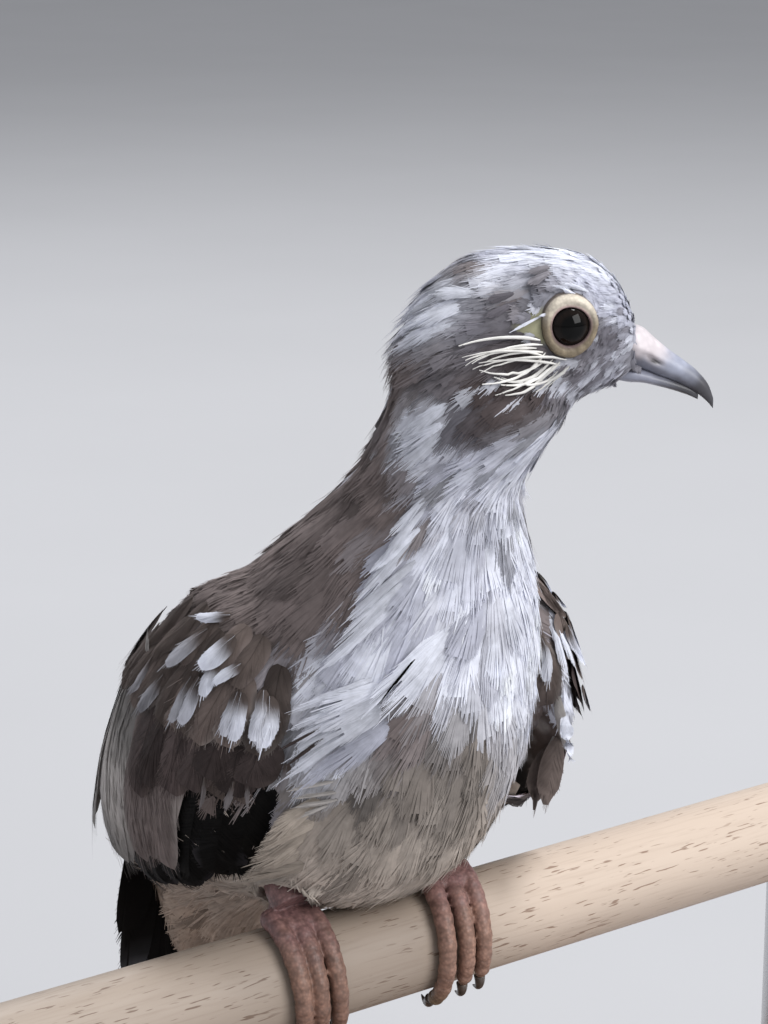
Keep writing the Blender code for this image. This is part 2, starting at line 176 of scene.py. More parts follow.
class DoveStandSettings(bpy.types.PropertyGroup):
    """Colours of the perch and of the stand."""

    beech: colour("Beech", "Sanded face of the perch", (0.60, 0.49, 0.40))
    beech_fleck: colour("Beech Fleck", "Short dark flecks of the beech", (0.27, 0.18, 0.13))
    walnut: colour("Walnut", "Face of the base", (0.165, 0.085, 0.045))
    walnut_dark: colour("Walnut Dark", "Dark grain of the base", (0.055, 0.026, 0.014))
    steel: colour("Steel", "The two rods", (0.60, 0.60, 0.61))
    floor: colour("Floor", "Studio floor", (0.49, 0.49, 0.503))


class DoveStageSettings(bpy.types.PropertyGroup):
    """The camera and the lights."""

    azimuth: number("Azimuth", "Camera's turn from straight in front", -36.0)
    elevation: number("Elevation", "Camera's height over level", 15.0)
    distance: length("Distance", "From the camera to the point it looks at", 309.28)
    lens: number("Lens", "Focal length", 94.92, min=1.0)
    key_power: power("Key Power", "Large light overhead", 9.5)
    window_power: power("Window Power", "Light behind the bird", 5.0)
    fill_power: power("Fill Power", "Large light in front", 15.0)
    sky: number("Sky", "Strength of the even light all round", 0.5)


# ---- Meshes ----


def rand(seed):
    return np.random.default_rng(seed)


def even_steps(count):
    """Numbers at even steps from 0 to 1."""
    return np.linspace(0.0, 1.0, count)


def circle(points):
    """Even angles once round."""
    return np.linspace(0.0, 2.0 * math.pi, points, endpoint=False)


def soft(value, low, high):
    """0 below low, 1 above high, and smooth between them."""
    t = np.clip((value - low) / (high - low), 0.0, 1.0)
    return t * t * (3.0 - 2.0 * t)


def blend(first, second, share):
    """Rows of colours mixed by a share for each row."""
    share = np.asarray(share)[..., None]
    return np.asarray(first) * (1.0 - share) + np.asarray(second) * share


def rows_of(*columns):
    return np.stack(columns, -1)


def unit(rows):
    return rows / np.maximum(np.linalg.norm(rows, axis=-1, keepdims=True), 1e-9)


def lattice(cells, seed):
    """A steady pseudo-random number from 0 to 1 for each whole-number cell."""
    mixed = cells[..., 0] * 127.1 + cells[..., 1] * 311.7 + cells[..., 2] * 74.7 + seed * 53.3
    return np.mod(np.sin(mixed) * 43758.5453, 1.0)


def cloud(places, size, seed):
    """Smooth noise from 0 to 1, whose lumps are about the given size across."""
    scaled = np.asarray(places) / size
    cell = np.floor(scaled)
    part = scaled - cell
    part = part * part * (3.0 - 2.0 * part)
    total = 0.0
    for corner in np.ndindex(2, 2, 2):
        corner = np.array(corner)
        weight = np.prod(np.where(corner, part, 1.0 - part), axis=-1)
        total = total + weight * lattice(cell + corner, seed)
    return total


def between(first, last, t):
    return first * (1 - t) + last * t


def curve_rows(rows, count):
    """Rows of numbers read at even steps along a smooth curve through the given rows."""
    rows = np.array(rows, float)
    padded = np.vstack([2 * rows[0] - rows[1], rows, 2 * rows[-1] - rows[-2]])
    made = []
    for step in np.linspace(0, len(rows) - 1, count):
        index = min(int(step), len(rows) - 2)
        t = step - index
        a, b, c, d = padded[index : index + 4]
        straight = (c - a) * t
        bend = (2 * a - 5 * b + 4 * c - d) * t**2
        twist = (3 * b - a - 3 * c + d) * t**3
        made.append((2 * b + straight + bend + twist) / 2)
    return np.array(made)


def world(places):
    return DOVE + np.asarray(places, float) * MM


def placed(name, data):
    """An object for a mesh, light or camera, placed in the scene."""
    obj = bpy.data.objects.new(name, data)
    bpy.context.scene.collection.objects.link(obj)
    return obj


def shape(name, places, faces):
    """A smooth-shaded mesh object from places in millimetres and lists of corners."""
    mesh = bpy.data.meshes.new(name)
    mesh.from_pydata(world(places).tolist(), [], [list(map(int, face)) for face in faces])
    mesh.shade_smooth()
    return placed(name, mesh)


def loft(rings, closed_ends=True):
    """Places and faces of a skin over rings of equal numbers of points."""
    rings = np.asarray(rings, float)
    count, size = rings.shape[:2]
    places = list(rings.reshape(-1, 3))
    faces = []
    for i in range(count - 1):
        for j in range(size):
            k, after = (j + 1) % size, i + 1
            faces.append((i * size + j, i * size + k, after * size + k, after * size + j))
    if closed_ends:
        for i in (0, count - 1):
            places.append(rings[i].mean(0))
            hub = len(places) - 1
            for j in range(size):
                faces.append((i * size + j, i * size + (j + 1) % size, hub))
    return places, faces


def face_outward(obj):
    shell = bmesh.new()
    shell.from_mesh(obj.data)
    bmesh.ops.recalc_face_normals(shell, faces=shell.faces[:])
    shell.to_mesh(obj.data)
    shell.free()
    return obj


def read_rows(items, label, width=3, kind=np.float32):
    """One value of every item, as rows of numbers."""
    flat = np.empty(len(items) * width, kind)
    items.foreach_get(label, flat)
    return flat.reshape(-1, width)


def write_rows(items, label, rows, kind=np.float32):
    items.foreach_set(label, np.ascontiguousarray(rows, kind).ravel())


def paint(obj, colours):
    """Stores a colour on each vertex, which the materials read as Marking."""
    layer = obj.data.color_attributes.new("Marking", "FLOAT_COLOR", "POINT")
    rows = np.ones((len(obj.data.vertices), 4))
    rows[:, :3] = colours
    write_rows(layer.data, "color", rows)


def vertices_of(obj):
    """An object's vertices in millimetres from the dove's middle."""
    return (read_rows(obj.data.vertices, "co") - DOVE) / MM


def normals_of(obj):
    return read_rows(obj.data.vertices, "normal")


def move_vertices(obj, places):
    write_rows(obj.data.vertices, "co", world(places))
    obj.data.update()


def apply_modifiers(obj):
    """Makes an object's mesh what its modifiers give."""
    graph = bpy.context.evaluated_depsgraph_get()
    made = bpy.data.meshes.new_from_object(obj.evaluated_get(graph))
    obj.modifiers.clear()
    obj.data = made
    obj.data.shade_smooth()
    return obj


def melted(obj, grain, rounds):
    """Joins an object's shells into one surface of small even faces and relaxes it."""
    join = obj.modifiers.new("join", "REMESH")
    join.mode = "VOXEL"
    join.voxel_size = grain * MM
    relax = obj.modifiers.new("relax", "SMOOTH")
    relax.factor = 0.5
    relax.iterations = rounds
    return apply_modifiers(obj)


def relaxed(line):
    """Evens out a line's inner points three times, in place."""
    for _ in range(3):
        line[1:-1] = (line[:-2] + 2 * line[1:-1] + line[2:]) / 4
    return line


def crisp(obj):
    """Keeps the edges sharp where faces meet at more than 50 degrees."""
    obj.data.set_sharp_from_angle(angle=math.radians(50.0))
    return obj


def finish_piece(obj, material, slot, *nodes):
    """Gives a piece its material and its body, and hides the solids it stands for. Its slot is not used."""
    obj.data.materials.clear()
    obj.data.materials.append(material)
    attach(obj, "root")
    if nodes:
        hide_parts(*nodes)


# ---- Materials ----


def shader_group(name, inputs, fill):
    """A shader node group with named inputs that gives a colour, a roughness and a height."""
    if name in bpy.data.node_groups:
        return bpy.data.node_groups[name]
    tree = bpy.data.node_groups.new(name, "ShaderNodeTree")
    for label, default in inputs.items():
        kind = "NodeSocketColor" if isinstance(default, tuple) else "NodeSocketFloat"
        tree.interface.new_socket(label, in_out="INPUT", socket_type=kind).default_value = default
    for label, kind in (("Colour", "Color"), ("Roughness", "Float"), ("Height", "Float")):
        tree.interface.new_socket(label, in_out="OUTPUT", socket_type="NodeSocket" + kind)
    given, made = tree.nodes.new("NodeGroupInput"), tree.nodes.new("NodeGroupOutput")
    place = tree.nodes.new("ShaderNodeTexCoord").outputs["Object"]
    for value, socket in zip(fill(tree, given.outputs, place), made.inputs):
        tree.links.new(value, socket)
    return tree


def feed(tree, socket, value):
    """Links a socket to another node's output, or gives it a number, a colour or a vector."""
    if isinstance(value, bpy.types.NodeSocket):
        tree.links.new(value, socket)
    elif isinstance(value, tuple):
        socket.default_value = (*value, 1.0)[: len(socket.default_value)]
    else:
        socket.default_value = value


def wired(tree, kind, inputs, output, **choices):
    """Adds a node with its choices made and its inputs fed, and returns one of its outputs."""
    node = tree.nodes.new("ShaderNode" + kind)
    for label, choice in choices.items():
        setattr(node, label, choice)
    for label, value in inputs.items():
        feed(tree, node.inputs[label], value)
    return node.outputs[output]


def noise_node(tree, vector, scale, detail=2.0):
    return wired(tree, "TexNoise", {"Detail": detail, "Vector": vector, "Scale": scale}, "Fac")


def maths(tree, operation, first, second):
    return wired(tree, "Math", {0: first, 1: second}, 0, operation=operation)


def spread(tree, value, low, high, to_low, to_high):
    limits = {"From Min": low, "From Max": high, "To Min": to_low, "To Max": to_high}
    return wired(tree, "MapRange", limits | {"Value": value}, "Result")


def tint(tree, base, factor):
    """A colour multiplied by a grey factor."""
    return wired(tree, "VectorMath", {0: base, "Scale": factor}, "Vector", operation="SCALE")


def mix_colours(tree, share, first, second):
    inputs = {"Factor": share, "A": first, "B": second}
    return wired(tree, "Mix", inputs, "Result", data_type="RGBA")


def stretched(tree, vector, stretch):
    return wired(tree, "VectorMath", {0: vector, 1: stretch}, "Vector", operation="MULTIPLY")


def either_side_of_one(tree, amount):
    return maths(tree, "SUBTRACT", 1.0, amount), maths(tree, "ADD", 1.0, amount)


def barb_group():
    """Fine variation of colour and gloss between the barbs of a feather."""

    def fill(tree, given, place):
        fine = noise_node(tree, place, given["Fineness"], 3.0)
        broad = noise_node(tree, place, maths(tree, "MULTIPLY", given["Fineness"], 0.2))
        both = maths(tree, "ADD", fine, broad)
        factor = spread(tree, both, 0.7, 1.3, *either_side_of_one(tree, given["Contrast"]))
        return tint(tree, given["Colour"], factor), spread(tree, broad, 0.3, 0.7, 0.62, 0.85), fine

    inputs = {"Colour": (0.5, 0.5, 0.5, 1.0), "Fineness": 900.0, "Contrast": 0.25}
    return shader_group("Feather Barbs", inputs, fill)


def pebble_group():
    """Bare skin or horn: small rounded grains with paler tops and darker creases."""

    def fill(tree, given, place):
        cells = {"Vector": place, "Scale": given["Grain Scale"]}
        crease = wired(tree, "TexVoronoi", cells, "Distance")
        broad = noise_node(tree, place, maths(tree, "MULTIPLY", given["Grain Scale"], 0.3), 3.0)
        limits = either_side_of_one(tree, given["Contrast"])
        top = spread(tree, crease, 0.7, 0.1, *limits)
        factor = maths(tree, "MULTIPLY", top, spread(tree, broad, 0.3, 0.7, *limits))
        coloured = tint(tree, given["Colour"], factor)
        rough = spread(tree, broad, 0.3, 0.7, given["Roughness Low"], given["Roughness High"])
        return coloured, rough, maths(tree, "SUBTRACT", 1.0, crease)

    inputs = {"Colour": (0.5, 0.5, 0.5, 1.0), "Grain Scale": 2500.0, "Contrast": 0.3}
    return shader_group("Skin Grain", inputs | {"Roughness Low": 0.4, "Roughness High": 0.6}, fill)


def wood_group():
    """Wood grain along X: long soft bands, fine pores and short dark flecks, with a painted shadow that
    darkens it towards low X.
    """

    def fill(tree, given, place):
        def streaks(along, across, detail):
            return noise_node(tree, stretched(tree, place, (along, across, across)), 1.0, detail)

        bands = streaks(12.0, 160.0, 4.0)
        pores = streaks(120.0, 2600.0, 2.0)
        flecks = streaks(360.0, 3400.0, 1.0)
        where = streaks(60.0, 260.0, 1.0)
        strength = given["Band Strength"]
        band_share = maths(tree, "MULTIPLY", spread(tree, bands, 0.35, 0.68, 0.0, 1.0), strength)
        pore_share = maths(tree, "MULTIPLY", spread(tree, pores, 0.5, 0.75, 0.0, 1.0), strength)
        fleck = spread(tree, flecks, 0.64, 0.70, 0.0, 1.0)
        fleck = maths(tree, "MULTIPLY", fleck, spread(tree, where, 0.36, 0.5, 0.0, 1.0))
        fleck_share = maths(tree, "MULTIPLY", fleck, given["Fleck Strength"])
        share = maths(tree, "ADD", maths(tree, "ADD", band_share, pore_share), fleck_share)
        share = maths(tree, "MINIMUM", share, 1.0)
        # Painted shadow: the colour is darkened towards low X by the factor given, standing in for the
        # dove's shadow on the perch.
        along = wired(tree, "SeparateXYZ", {"Vector": place}, "X")
        painted_shadow = spread(tree, along, -0.004, 0.016, given["Painted Shadow"], 1.0)
        grained = mix_colours(tree, share, given["Light"], given["Dark"])
        shadowed = tint(tree, grained, painted_shadow)
        rough = spread(tree, pores, 0.3, 0.7, given["Roughness Low"], given["Roughness High"])
        return shadowed, rough, maths(tree, "SUBTRACT", 1.0, maths(tree, "ADD", fleck, pore_share))

    inputs = {"Light": (0.7, 0.5, 0.4, 1.0), "Dark": (0.4, 0.25, 0.15, 1.0)}
    inputs |= {"Band Strength": 0.3, "Fleck Strength": 0.5, "Painted Shadow": 1.0}
    return shader_group("Wood Grain", inputs | {"Roughness Low": 0.35, "Roughness High": 0.55}, fill)


def material_from(name, group, values, colour_from=None, bump=0.2, bump_reach=0.0001, **constants):
    """A material that places a group with its own values and feeds the shader from it."""
    made = bpy.data.materials.get(name)
    if made is not None:
        return made
    made = bpy.data.materials.new(name)
    made.use_nodes = True
    tree = made.node_tree
    shader = tree.nodes["Principled BSDF"]
    node = tree.nodes.new("ShaderNodeGroup")
    node.node_tree = group
    for label, value in values.items():
        feed(tree, node.inputs[label], value)
    if colour_from:
        marking = wired(tree, "Attribute", {}, "Color", attribute_name=colour_from)
        tree.links.new(marking, node.inputs["Colour"])
    tree.links.new(node.outputs["Colour"], shader.inputs["Base Color"])
    tree.links.new(node.outputs["Roughness"], shader.inputs["Roughness"])
    relief = {"Strength": bump, "Distance": bump_reach, "Height": node.outputs["Height"]}
    tree.links.new(wired(tree, "Bump", relief, "Normal"), shader.inputs["Normal"])
    for label, value in constants.items():
        shader.inputs[label.replace("_", " ")].default_value = value
    return made


def feather_material(name, fineness, contrast, bump, gloss):
    values = {"Fineness": fineness, "Contrast": contrast}
    return material_from(name, barb_group(), values, "Marking", bump, Specular_IOR_Level=gloss)


def down_material():
    return feather_material("dove_down", fineness=700.0, contrast=0.22, bump=0.3, gloss=0.2)


def contour_material():
    return feather_material("dove_contour", fineness=900.0, contrast=0.16, bump=0.15, gloss=0.12)


def quill_material():
    return feather_material("dove_quills", fineness=500.0, contrast=0.2, bump=0.15, gloss=0.12)


def bare_material(name, scale, contrast, rough, bump, **constants):
    values = {"Grain Scale": scale, "Contrast": contrast}
    values |= {"Roughness Low": rough[0], "Roughness High": rough[1]}
    return material_from(name, pebble_group(), values, "Marking", bump, **constants)


# ---- The lie and the markings of the coat ----

# Each patch on the head: its middle in the head's frame, its reach, its colour and its strength.
# Patches lie alike on both sides.
HEAD_PATCHES = (
    ((3.0, -6.0, 2.5), 4.5, "blue_grey", 0.95), ((2.0, 3.5, 7.2), 2.8, "white", 1.0),
    ((1.5, 0.0, 7.1), 2.6, "white", 1.0), ((1.5, -3.6, 5.4), 2.0, "white", 0.9),
    ((4.6, 7.6, 4.6), 3.0, "white", 1.0), ((5.6, -0.4, 4.0), 1.0, "white", 0.8),
    ((5.0, 3.2, 4.8), 2.2, "dusk", 0.7), ((5.8, 6.6, 2.2), 1.5, "umber", 0.9),
    ((3.2, 10.4, 6.2), 2.0, "umber", 1.0), ((2.6, 12.9, 4.6), 1.9, "sepia", 0.95),
    ((5.4, 11.2, 3.8), 1.9, "sepia", 1.0), ((6.6, 8.8, -0.4), 3.6, "dusk", 0.75),
    ((4.2, 15.0, 1.8), 3.4, "white", 1.0), ((4.0, 15.9, -1.0), 2.0, "white", 0.85),
    ((5.4, 13.6, -1.4), 1.5, "sepia", 0.5), ((5.4, -4.1, -1.3), 1.8, "dusk", 0.85),
    ((7.4, 4.9, -2.9), 2.2, "sepia", 1.0), ((7.6, 7.6, -8.0), 4.7, "sepia", 1.0),
    ((7.2, 3.8, -8.6), 3.1, "sepia", 1.0), ((8.2, 9.6, -5.4), 2.2, "sepia", 0.8),
    ((3.9, 18.3, -6.5), 4.5, "umber", 0.8), ((6.0, 15.2, -11.6), 3.2, "white", 1.0),
    ((7.6, 11.6, -9.2), 1.8, "dusk", 0.7), ((4.8, 3.2, -15.2), 3.8, "white", 1.0),
    ((7.5, 8.5, -14.4), 3.0, "blue_grey", 0.9), ((3.7, -4.5, -5.9), 2.2, "blue_grey", 0.6),
)

# Where the brown mantle gives way to the white breast: how far back, at each height.
MANTLE_EDGE = (
    (30.0, -7.0), (38.5, -9.6), (43.3, -11.5), (47.6, -13.6),
    (52.0, -15.7), (56.2, -16.9), (61.0, -17.6), (70.0, -17.2),
)

# Each patch on the body: its middle, its reach, its colour and its strength. It lies on one side only.
BODY_PATCHES = (
    ((-2.1, -21.4, 53.0), 1.3, "umber", 0.9), ((-0.8, -21.4, 47.8), 1.2, "umber", 0.8),
    ((-5.6, -20.2, 46.1), 1.2, "umber", 0.8), ((-5.3, -20.2, 42.7), 1.1, "umber", 0.7),
    ((3.5, -20.9, 57.1), 1.2, "umber", 0.7), ((6.5, -19.5, 49.0), 1.3, "umber", 0.5),
    ((-1.8, -20.2, 57.5), 1.7, "smoke", 0.6), ((1.5, -21.3, 52.5), 1.6, "smoke", 0.5),
    ((1.0, -21.3, 45.0), 2.2, "smoke", 0.4), ((-8.5, -17.5, 34.0), 3.2, "umber", 0.95),
    ((-14.8, -11.0, 32.2), 4.2, "white", 0.95), ((-12.0, -13.5, 37.0), 2.5, "white", 0.6),
)

# Pale spots of the small wing feathers: the place on the wing (y, z), the reach and the strength.
WING_SPOTS = (
    (4.5, 40.5, 1.6, 0.6), (-0.6, 38.5, 1.8, 0.6), (-5.9, 33.8, 2.0, 0.7),
    (7.5, 35.5, 2.0, 0.5), (-9.0, 38.0, 2.5, 0.5),
)


def settings():
    return bpy.context.scene.dove_plumage


def tone(name):
    """A colour of the panel, from the coat's settings or from the bare parts' settings."""
    bare = bpy.context.scene.dove_bare
    return np.array(getattr(bare if hasattr(bare, name) else settings(), name))


def patch_over(colours, places, patches, mirrored):
    """Lays soft-edged patches over rows of colours."""
    ragged = 0.75 + 0.5 * cloud(places, 1.1, 5)
    for place, reach, name, strength in patches:
        seen = places * (-1.0, 1.0, 1.0) if mirrored else places
        far = np.linalg.norm(seen - place, axis=-1)
        if mirrored:
            far = np.minimum(far, np.linalg.norm(places - place, axis=-1))
        share = strength * np.clip(1.4 * np.exp(-((far / (reach * ragged)) ** 2)), 0.0, 1.0)
        colours = blend(colours, tone(name), share)
    return colours


def head_markings(places):
    local = from_head(places)
    back, height = local[:, 1], local[:, 2]
    colours = np.tile(tone("blue_grey"), (len(places), 1))
    colours = blend(colours, tone("smoke"), soft(height, 3.0, -3.0) * 0.9)
    colours = blend(colours, tone("smoke"), soft(cloud(places, 1.7, 3), 0.45, 0.7) * 0.8)
    colours = blend(colours, tone("umber") * 0.95, soft(back, 12.5, 15.5) * soft(height, -1.5, -4.5) * 0.95)
    return patch_over(colours, local, HEAD_PATCHES, True)


def body_markings(places):
    x, y, z = places.T
    height, line = zip(*MANTLE_EDGE)
    broad, fine = cloud(places, 3.2, 2) - 0.5, cloud(places, 1.1, 4) - 0.5
    edge = y - np.interp(z, height, line) + 3.0 * broad + 3.0 * fine
    colours = np.tile(tone("white"), (len(places), 1))
    # Grey blotches over the white breast are marking; their fading out on the left side paints that side
    # lighter, which is painted light.
    greyer = soft(cloud(places, 2.6, 7), 0.35, 0.8) * (0.95 - 0.85 * soft(x, -1.0, 5.0))
    colours = blend(colours, tone("blue_grey"), greyer)
    far_side = soft(x, 0.0, 9.0)
    low = soft(z + 9.0 * far_side + 6.0 * (cloud(places, 4.0, 8) - 0.5), 42.0, 28.0)
    # Painted shade and light: the buff is painted darker across the middle of the belly, less so on the left
    # side, and blends low down into the paler fluff, which stands in for light bounced up from below.
    belly = blend(tone("buff") * (0.66 + 0.3 * far_side)[:, None], tone("fluff"), soft(z, 27.0, 14.0))
    colours = blend(colours, belly, low * 0.95)
    greyed = soft(cloud(places, 2.8, 14), 0.5, 0.8) * soft(edge, 9.0, 1.0) * 0.5
    mantle = blend(tone("umber"), tone("blue_grey"), greyed)
    colours = blend(colours, mantle, soft(edge, -1.6, 1.6) * soft(z, 14.0, 26.0))
    back = soft(y, 12.0, 30.0)
    colours = blend(colours, tone("vent"), soft(z, 12.0, 2.0) * back)
    colours = blend(colours, tone("umber"), soft(y - 0.55 * (30.0 - z), 22.0, 30.0))
    return patch_over(colours, places, BODY_PATCHES, False)


def coat_markings(places, kinds):
    """The coat's colour at each place. Heads, necks and bodies run into each other."""
    wing = (kinds == "coverts") | (kinds == "flights")
    head = soft(places[:, 2], 59.0, 66.0)
    colours = blend(body_markings(places), head_markings(places), np.where(wing, 0.0, head))
    colours[wing] = wing_markings(places[wing])
    flights = kinds == "flights"
    mottled = blend(tone("covert"), tone("tertial"), soft(cloud(places, 2.2, 12), 0.6, 0.75) * 0.5)
    front = soft(places[:, 1], 2.0, -4.0) * (places[:, 0] > 0)
    colours[flights] = blend(tone("black"), mottled, front)[flights]
    colours[kinds == "tail"] = tone("black")
    return colours


def wing_markings(places):
    colours = np.tile(tone("covert"), (len(places), 1))
    dusk = soft(cloud(places, 2.2, 9), 0.35, 0.7)
    colours = blend(colours, tone("umber") * 0.8, dusk * 0.7)
    for y, z, reach, strength in WING_SPOTS:
        far = np.hypot(places[:, 1] - y, places[:, 2] - z)
        share = strength * np.clip(1.5 * np.exp(-((far / reach) ** 2)), 0.0, 1.0)
        colours = blend(colours, tone("white"), share)
    front = soft(places[:, 1], -3.0, -8.0) * soft(cloud(places, 2.0, 12), 0.4, 0.6) * (places[:, 0] > 0)
    return blend(colours, tone("white"), front * 0.9)


def lie(places, normals, kinds):
    """The way the feathers point at each place, along the surface."""
    local = from_head(places)
    x, y, z = places.T
    side = np.clip(x / 12.0, -1.0, 1.0)
    body = rows_of(0.22 * side, np.full(len(x), 0.58), np.full(len(x), -0.8))
    wing = rows_of(0.0 * x, np.full(len(x), 0.72), np.full(len(x), -0.69))

    outward = np.sign(local[:, 0])
    sweep = rows_of(0.1 * outward, np.ones(len(x)), -0.22 - 0.45 * soft(local[:, 2], 1.0, -5.0))
    from_eye = local - rows_of(outward * 6.5, 0 * x, 0 * x)
    from_eye[:, 0] = 0.0
    near = np.linalg.norm(from_eye, axis=-1)
    radial = unit(from_eye)
    inward = np.minimum((sweep * radial).sum(-1), 0.0) * soft(near, 7.0, 3.5)
    sweep = sweep - radial * inward[:, None]
    head = sweep @ HEAD_TURN.T

    share = soft(z - 0.12 * (y + 20.0), 60.0, 71.0)[:, None]
    way = np.where((kinds == "coverts")[:, None] | (kinds == "flights")[:, None], wing, body)
    upper = (kinds == "head")[:, None] | (kinds == "neck")[:, None]
    way = np.where(upper, head * share + body * (1 - share), way)
    way = np.where((kinds == "tail")[:, None], np.array((0.0, 0.15, -1.0)), way)
    tuft = cloud(places, 3.4, 21) - 0.5
    stray = cloud(places, 8.0, 22) - 0.5
    turn = np.where(kinds == "head", 0.4, 0.7) * tuft + np.where(kinds == "head", 0.2, 0.55) * stray
    way = unit(way - normals * (way * normals).sum(-1, keepdims=True))
    across = np.cross(normals, way)
    return unit(way * np.cos(turn)[:, None] + across * np.sin(turn)[:, None])


# ---- The skin ----

EYE_SWING = math.radians(10.0)
# Half sizes of the flesh that fills each socket behind the eyelids: outward, along and up.
SOCKET_FILL = (2.35, 4.2, 4.6)


def eye_axes(sign):
    """Where an eye looks, and the forward and upward ways across it, in the head's frame."""
    look = np.array((sign * math.cos(EYE_SWING), -math.sin(EYE_SWING), 0.0))
    up = np.array((0.0, 0.0, 1.0))
    return look, np.cross(up, look) * -sign, up


def eye_rings(side, sign, radii, count, points, bulge=0.0):
    """Rings of an ellipsoid round an eye's middle, from its front to its back."""
    look, ahead, up = eye_axes(sign)
    centre = from_head(middle_of(f"eye_{side}"))
    around = circle(points)[:, None]
    rings = []
    for polar in np.linspace(0.02, math.pi - 0.02, count):
        size = 1.0 + bulge * math.exp(-((polar / 0.55) ** 2))
        across = np.cos(around) * ahead * radii[1] + np.sin(around) * up * radii[2]
        rings.append(on_head(centre + (math.cos(polar) * look * radii[0] + math.sin(polar) * across) * size))
    return rings


class Coat:
    """What the skin gives to the feathers: its surface, its unwrap and which solid is nearest."""

    skin = None
    tree = None
    triangles = None
    maps = None
    kinds = None


def flesh_tree():
    """The flesh solids' surface, and the kind of flesh behind each of its faces."""
    places, faces, kinds = [], [], []
    for node in FLESH:
        mesh = frame["nodes"][node].data
        start = len(places)
        places += list((read_rows(mesh.vertices, "co") - DOVE) / MM)
        faces += [[start + index for index in face.vertices] for face in mesh.polygons]
        kinds += [node.split("_")[-1]] * len(mesh.polygons)
    return BVHTree.FromPolygons(np.array(places).tolist(), faces), np.array(kinds)


# How far the flesh solids are swollen before they are joined, and the thickest flesh measured.
SWELL = 0.42
THICKEST = 8.0


def joined_flesh():
    """One closed surface over all the flesh solids, with no seam between them."""
    places, faces = [], []
    for node in FLESH:
        shell = bmesh.new()
        shell.from_mesh(frame["nodes"][node].data)
        bmesh.ops.remove_doubles(shell, verts=shell.verts, dist=1e-6)
        bmesh.ops.recalc_face_normals(shell, faces=shell.faces[:])
        shell.normal_update()
        start = len(places)
        for vert in shell.verts:
            places.append((np.array(vert.co + vert.normal * SWELL * MM) - DOVE) / MM)
        faces += [[start + vert.index for vert in face.verts] for face in shell.faces]
        shell.free()
    for side, sign in SIDES:
        more, sides = loft(eye_rings(side, sign, SOCKET_FILL, count=24, points=24))
        faces += [[len(places) + index for index in face] for face in sides]
        places += list(more)
    obj = shape("skin", places, faces)
    return melted(obj, grain=0.55, rounds=9)


def kinds_near(tree, kinds, places):
    return kinds[[tree.find_nearest(place)[2] for place in places.tolist()]]


def sink_skin(obj):
    """Moves the joined surface in by the coat's depth: least on the face, and less where flesh is thin."""
    places, normals = vertices_of(obj), normals_of(obj)
    tree = BVHTree.FromObject(obj, bpy.context.evaluated_depsgraph_get())
    solid = np.full(len(places), THICKEST)
    for i, (place, normal) in enumerate(zip(world(places), normals)):
        inward = Vector(-normal)
        hit = tree.ray_cast(Vector(place) + inward * 0.05 * MM, inward, THICKEST * MM)
        if hit[3] is not None:
            solid[i] = hit[3] / MM
    plumage = settings()
    ahead = -from_head(places)[:, 1]
    face = soft(ahead, -9.0, 4.0) * soft(places[:, 2], 66.0, 70.0)
    depth = plumage.coat_depth / MM * (1 - face) + plumage.face_depth / MM * face
    depth = np.minimum(depth, 0.3 * solid) + SWELL
    first, second = read_rows(obj.data.edges, "vertices", 2, np.int32).T
    for _ in range(6):
        total, count = depth.copy(), np.ones(len(depth))
        np.add.at(total, first, depth[second])
        np.add.at(total, second, depth[first])
        np.add.at(count, first, 1.0)
        np.add.at(count, second, 1.0)
        depth = total / count
    move_vertices(obj, places - normals * depth[:, None])


def unwrap(obj):
    """Unwraps the skin by its own shape."""
    bpy.ops.object.select_all(action="DESELECT")
    obj.select_set(True)
    bpy.context.view_layer.objects.active = obj
    bpy.ops.object.mode_set(mode="EDIT")
    bpy.ops.mesh.select_all(action="SELECT")
    bpy.ops.uv.smart_project(angle_limit=math.radians(66.0), island_margin=0.002)
    bpy.ops.object.mode_set(mode="OBJECT")
    obj.data.uv_layers.active.name = "OFBake"


def make_skin():
    obj = joined_flesh()
    sink_skin(obj)
    triangulate = obj.modifiers.new("triangles", "TRIANGULATE")
    triangulate.quad_method = "SHORTEST_DIAGONAL"
    apply_modifiers(obj)
    unwrap(obj)

    tree, face_kinds = flesh_tree()
    places = vertices_of(obj)
    kinds = kinds_near(tree, face_kinds, places)
    colours = coat_markings(places, kinds) * (1.0 - settings().skin_shade)
    local = from_head(places)
    far = np.linalg.norm((np.abs(local[:, 0]) - 6.0, 0.8 * (local[:, 1] - 2.6), 1.2 * local[:, 2]), axis=0)
    paint(obj, blend(colours, tone("bare"), soft(far, 2.6, 1.7)))

    Coat.skin = obj
    Coat.triangles = read_rows(obj.data.loops, "vertex_index", 1, np.int32).reshape(-1, 3)
    Coat.maps = read_rows(obj.data.uv_layers["OFBake"].data, "uv", 2).reshape(-1, 3, 2)
    Coat.tree = BVHTree.FromPolygons(places.tolist(), Coat.triangles.tolist())
    Coat.kinds = kinds
    finish_piece(obj, down_material(), "plumage", *FLESH)


# ---- Feathers ----


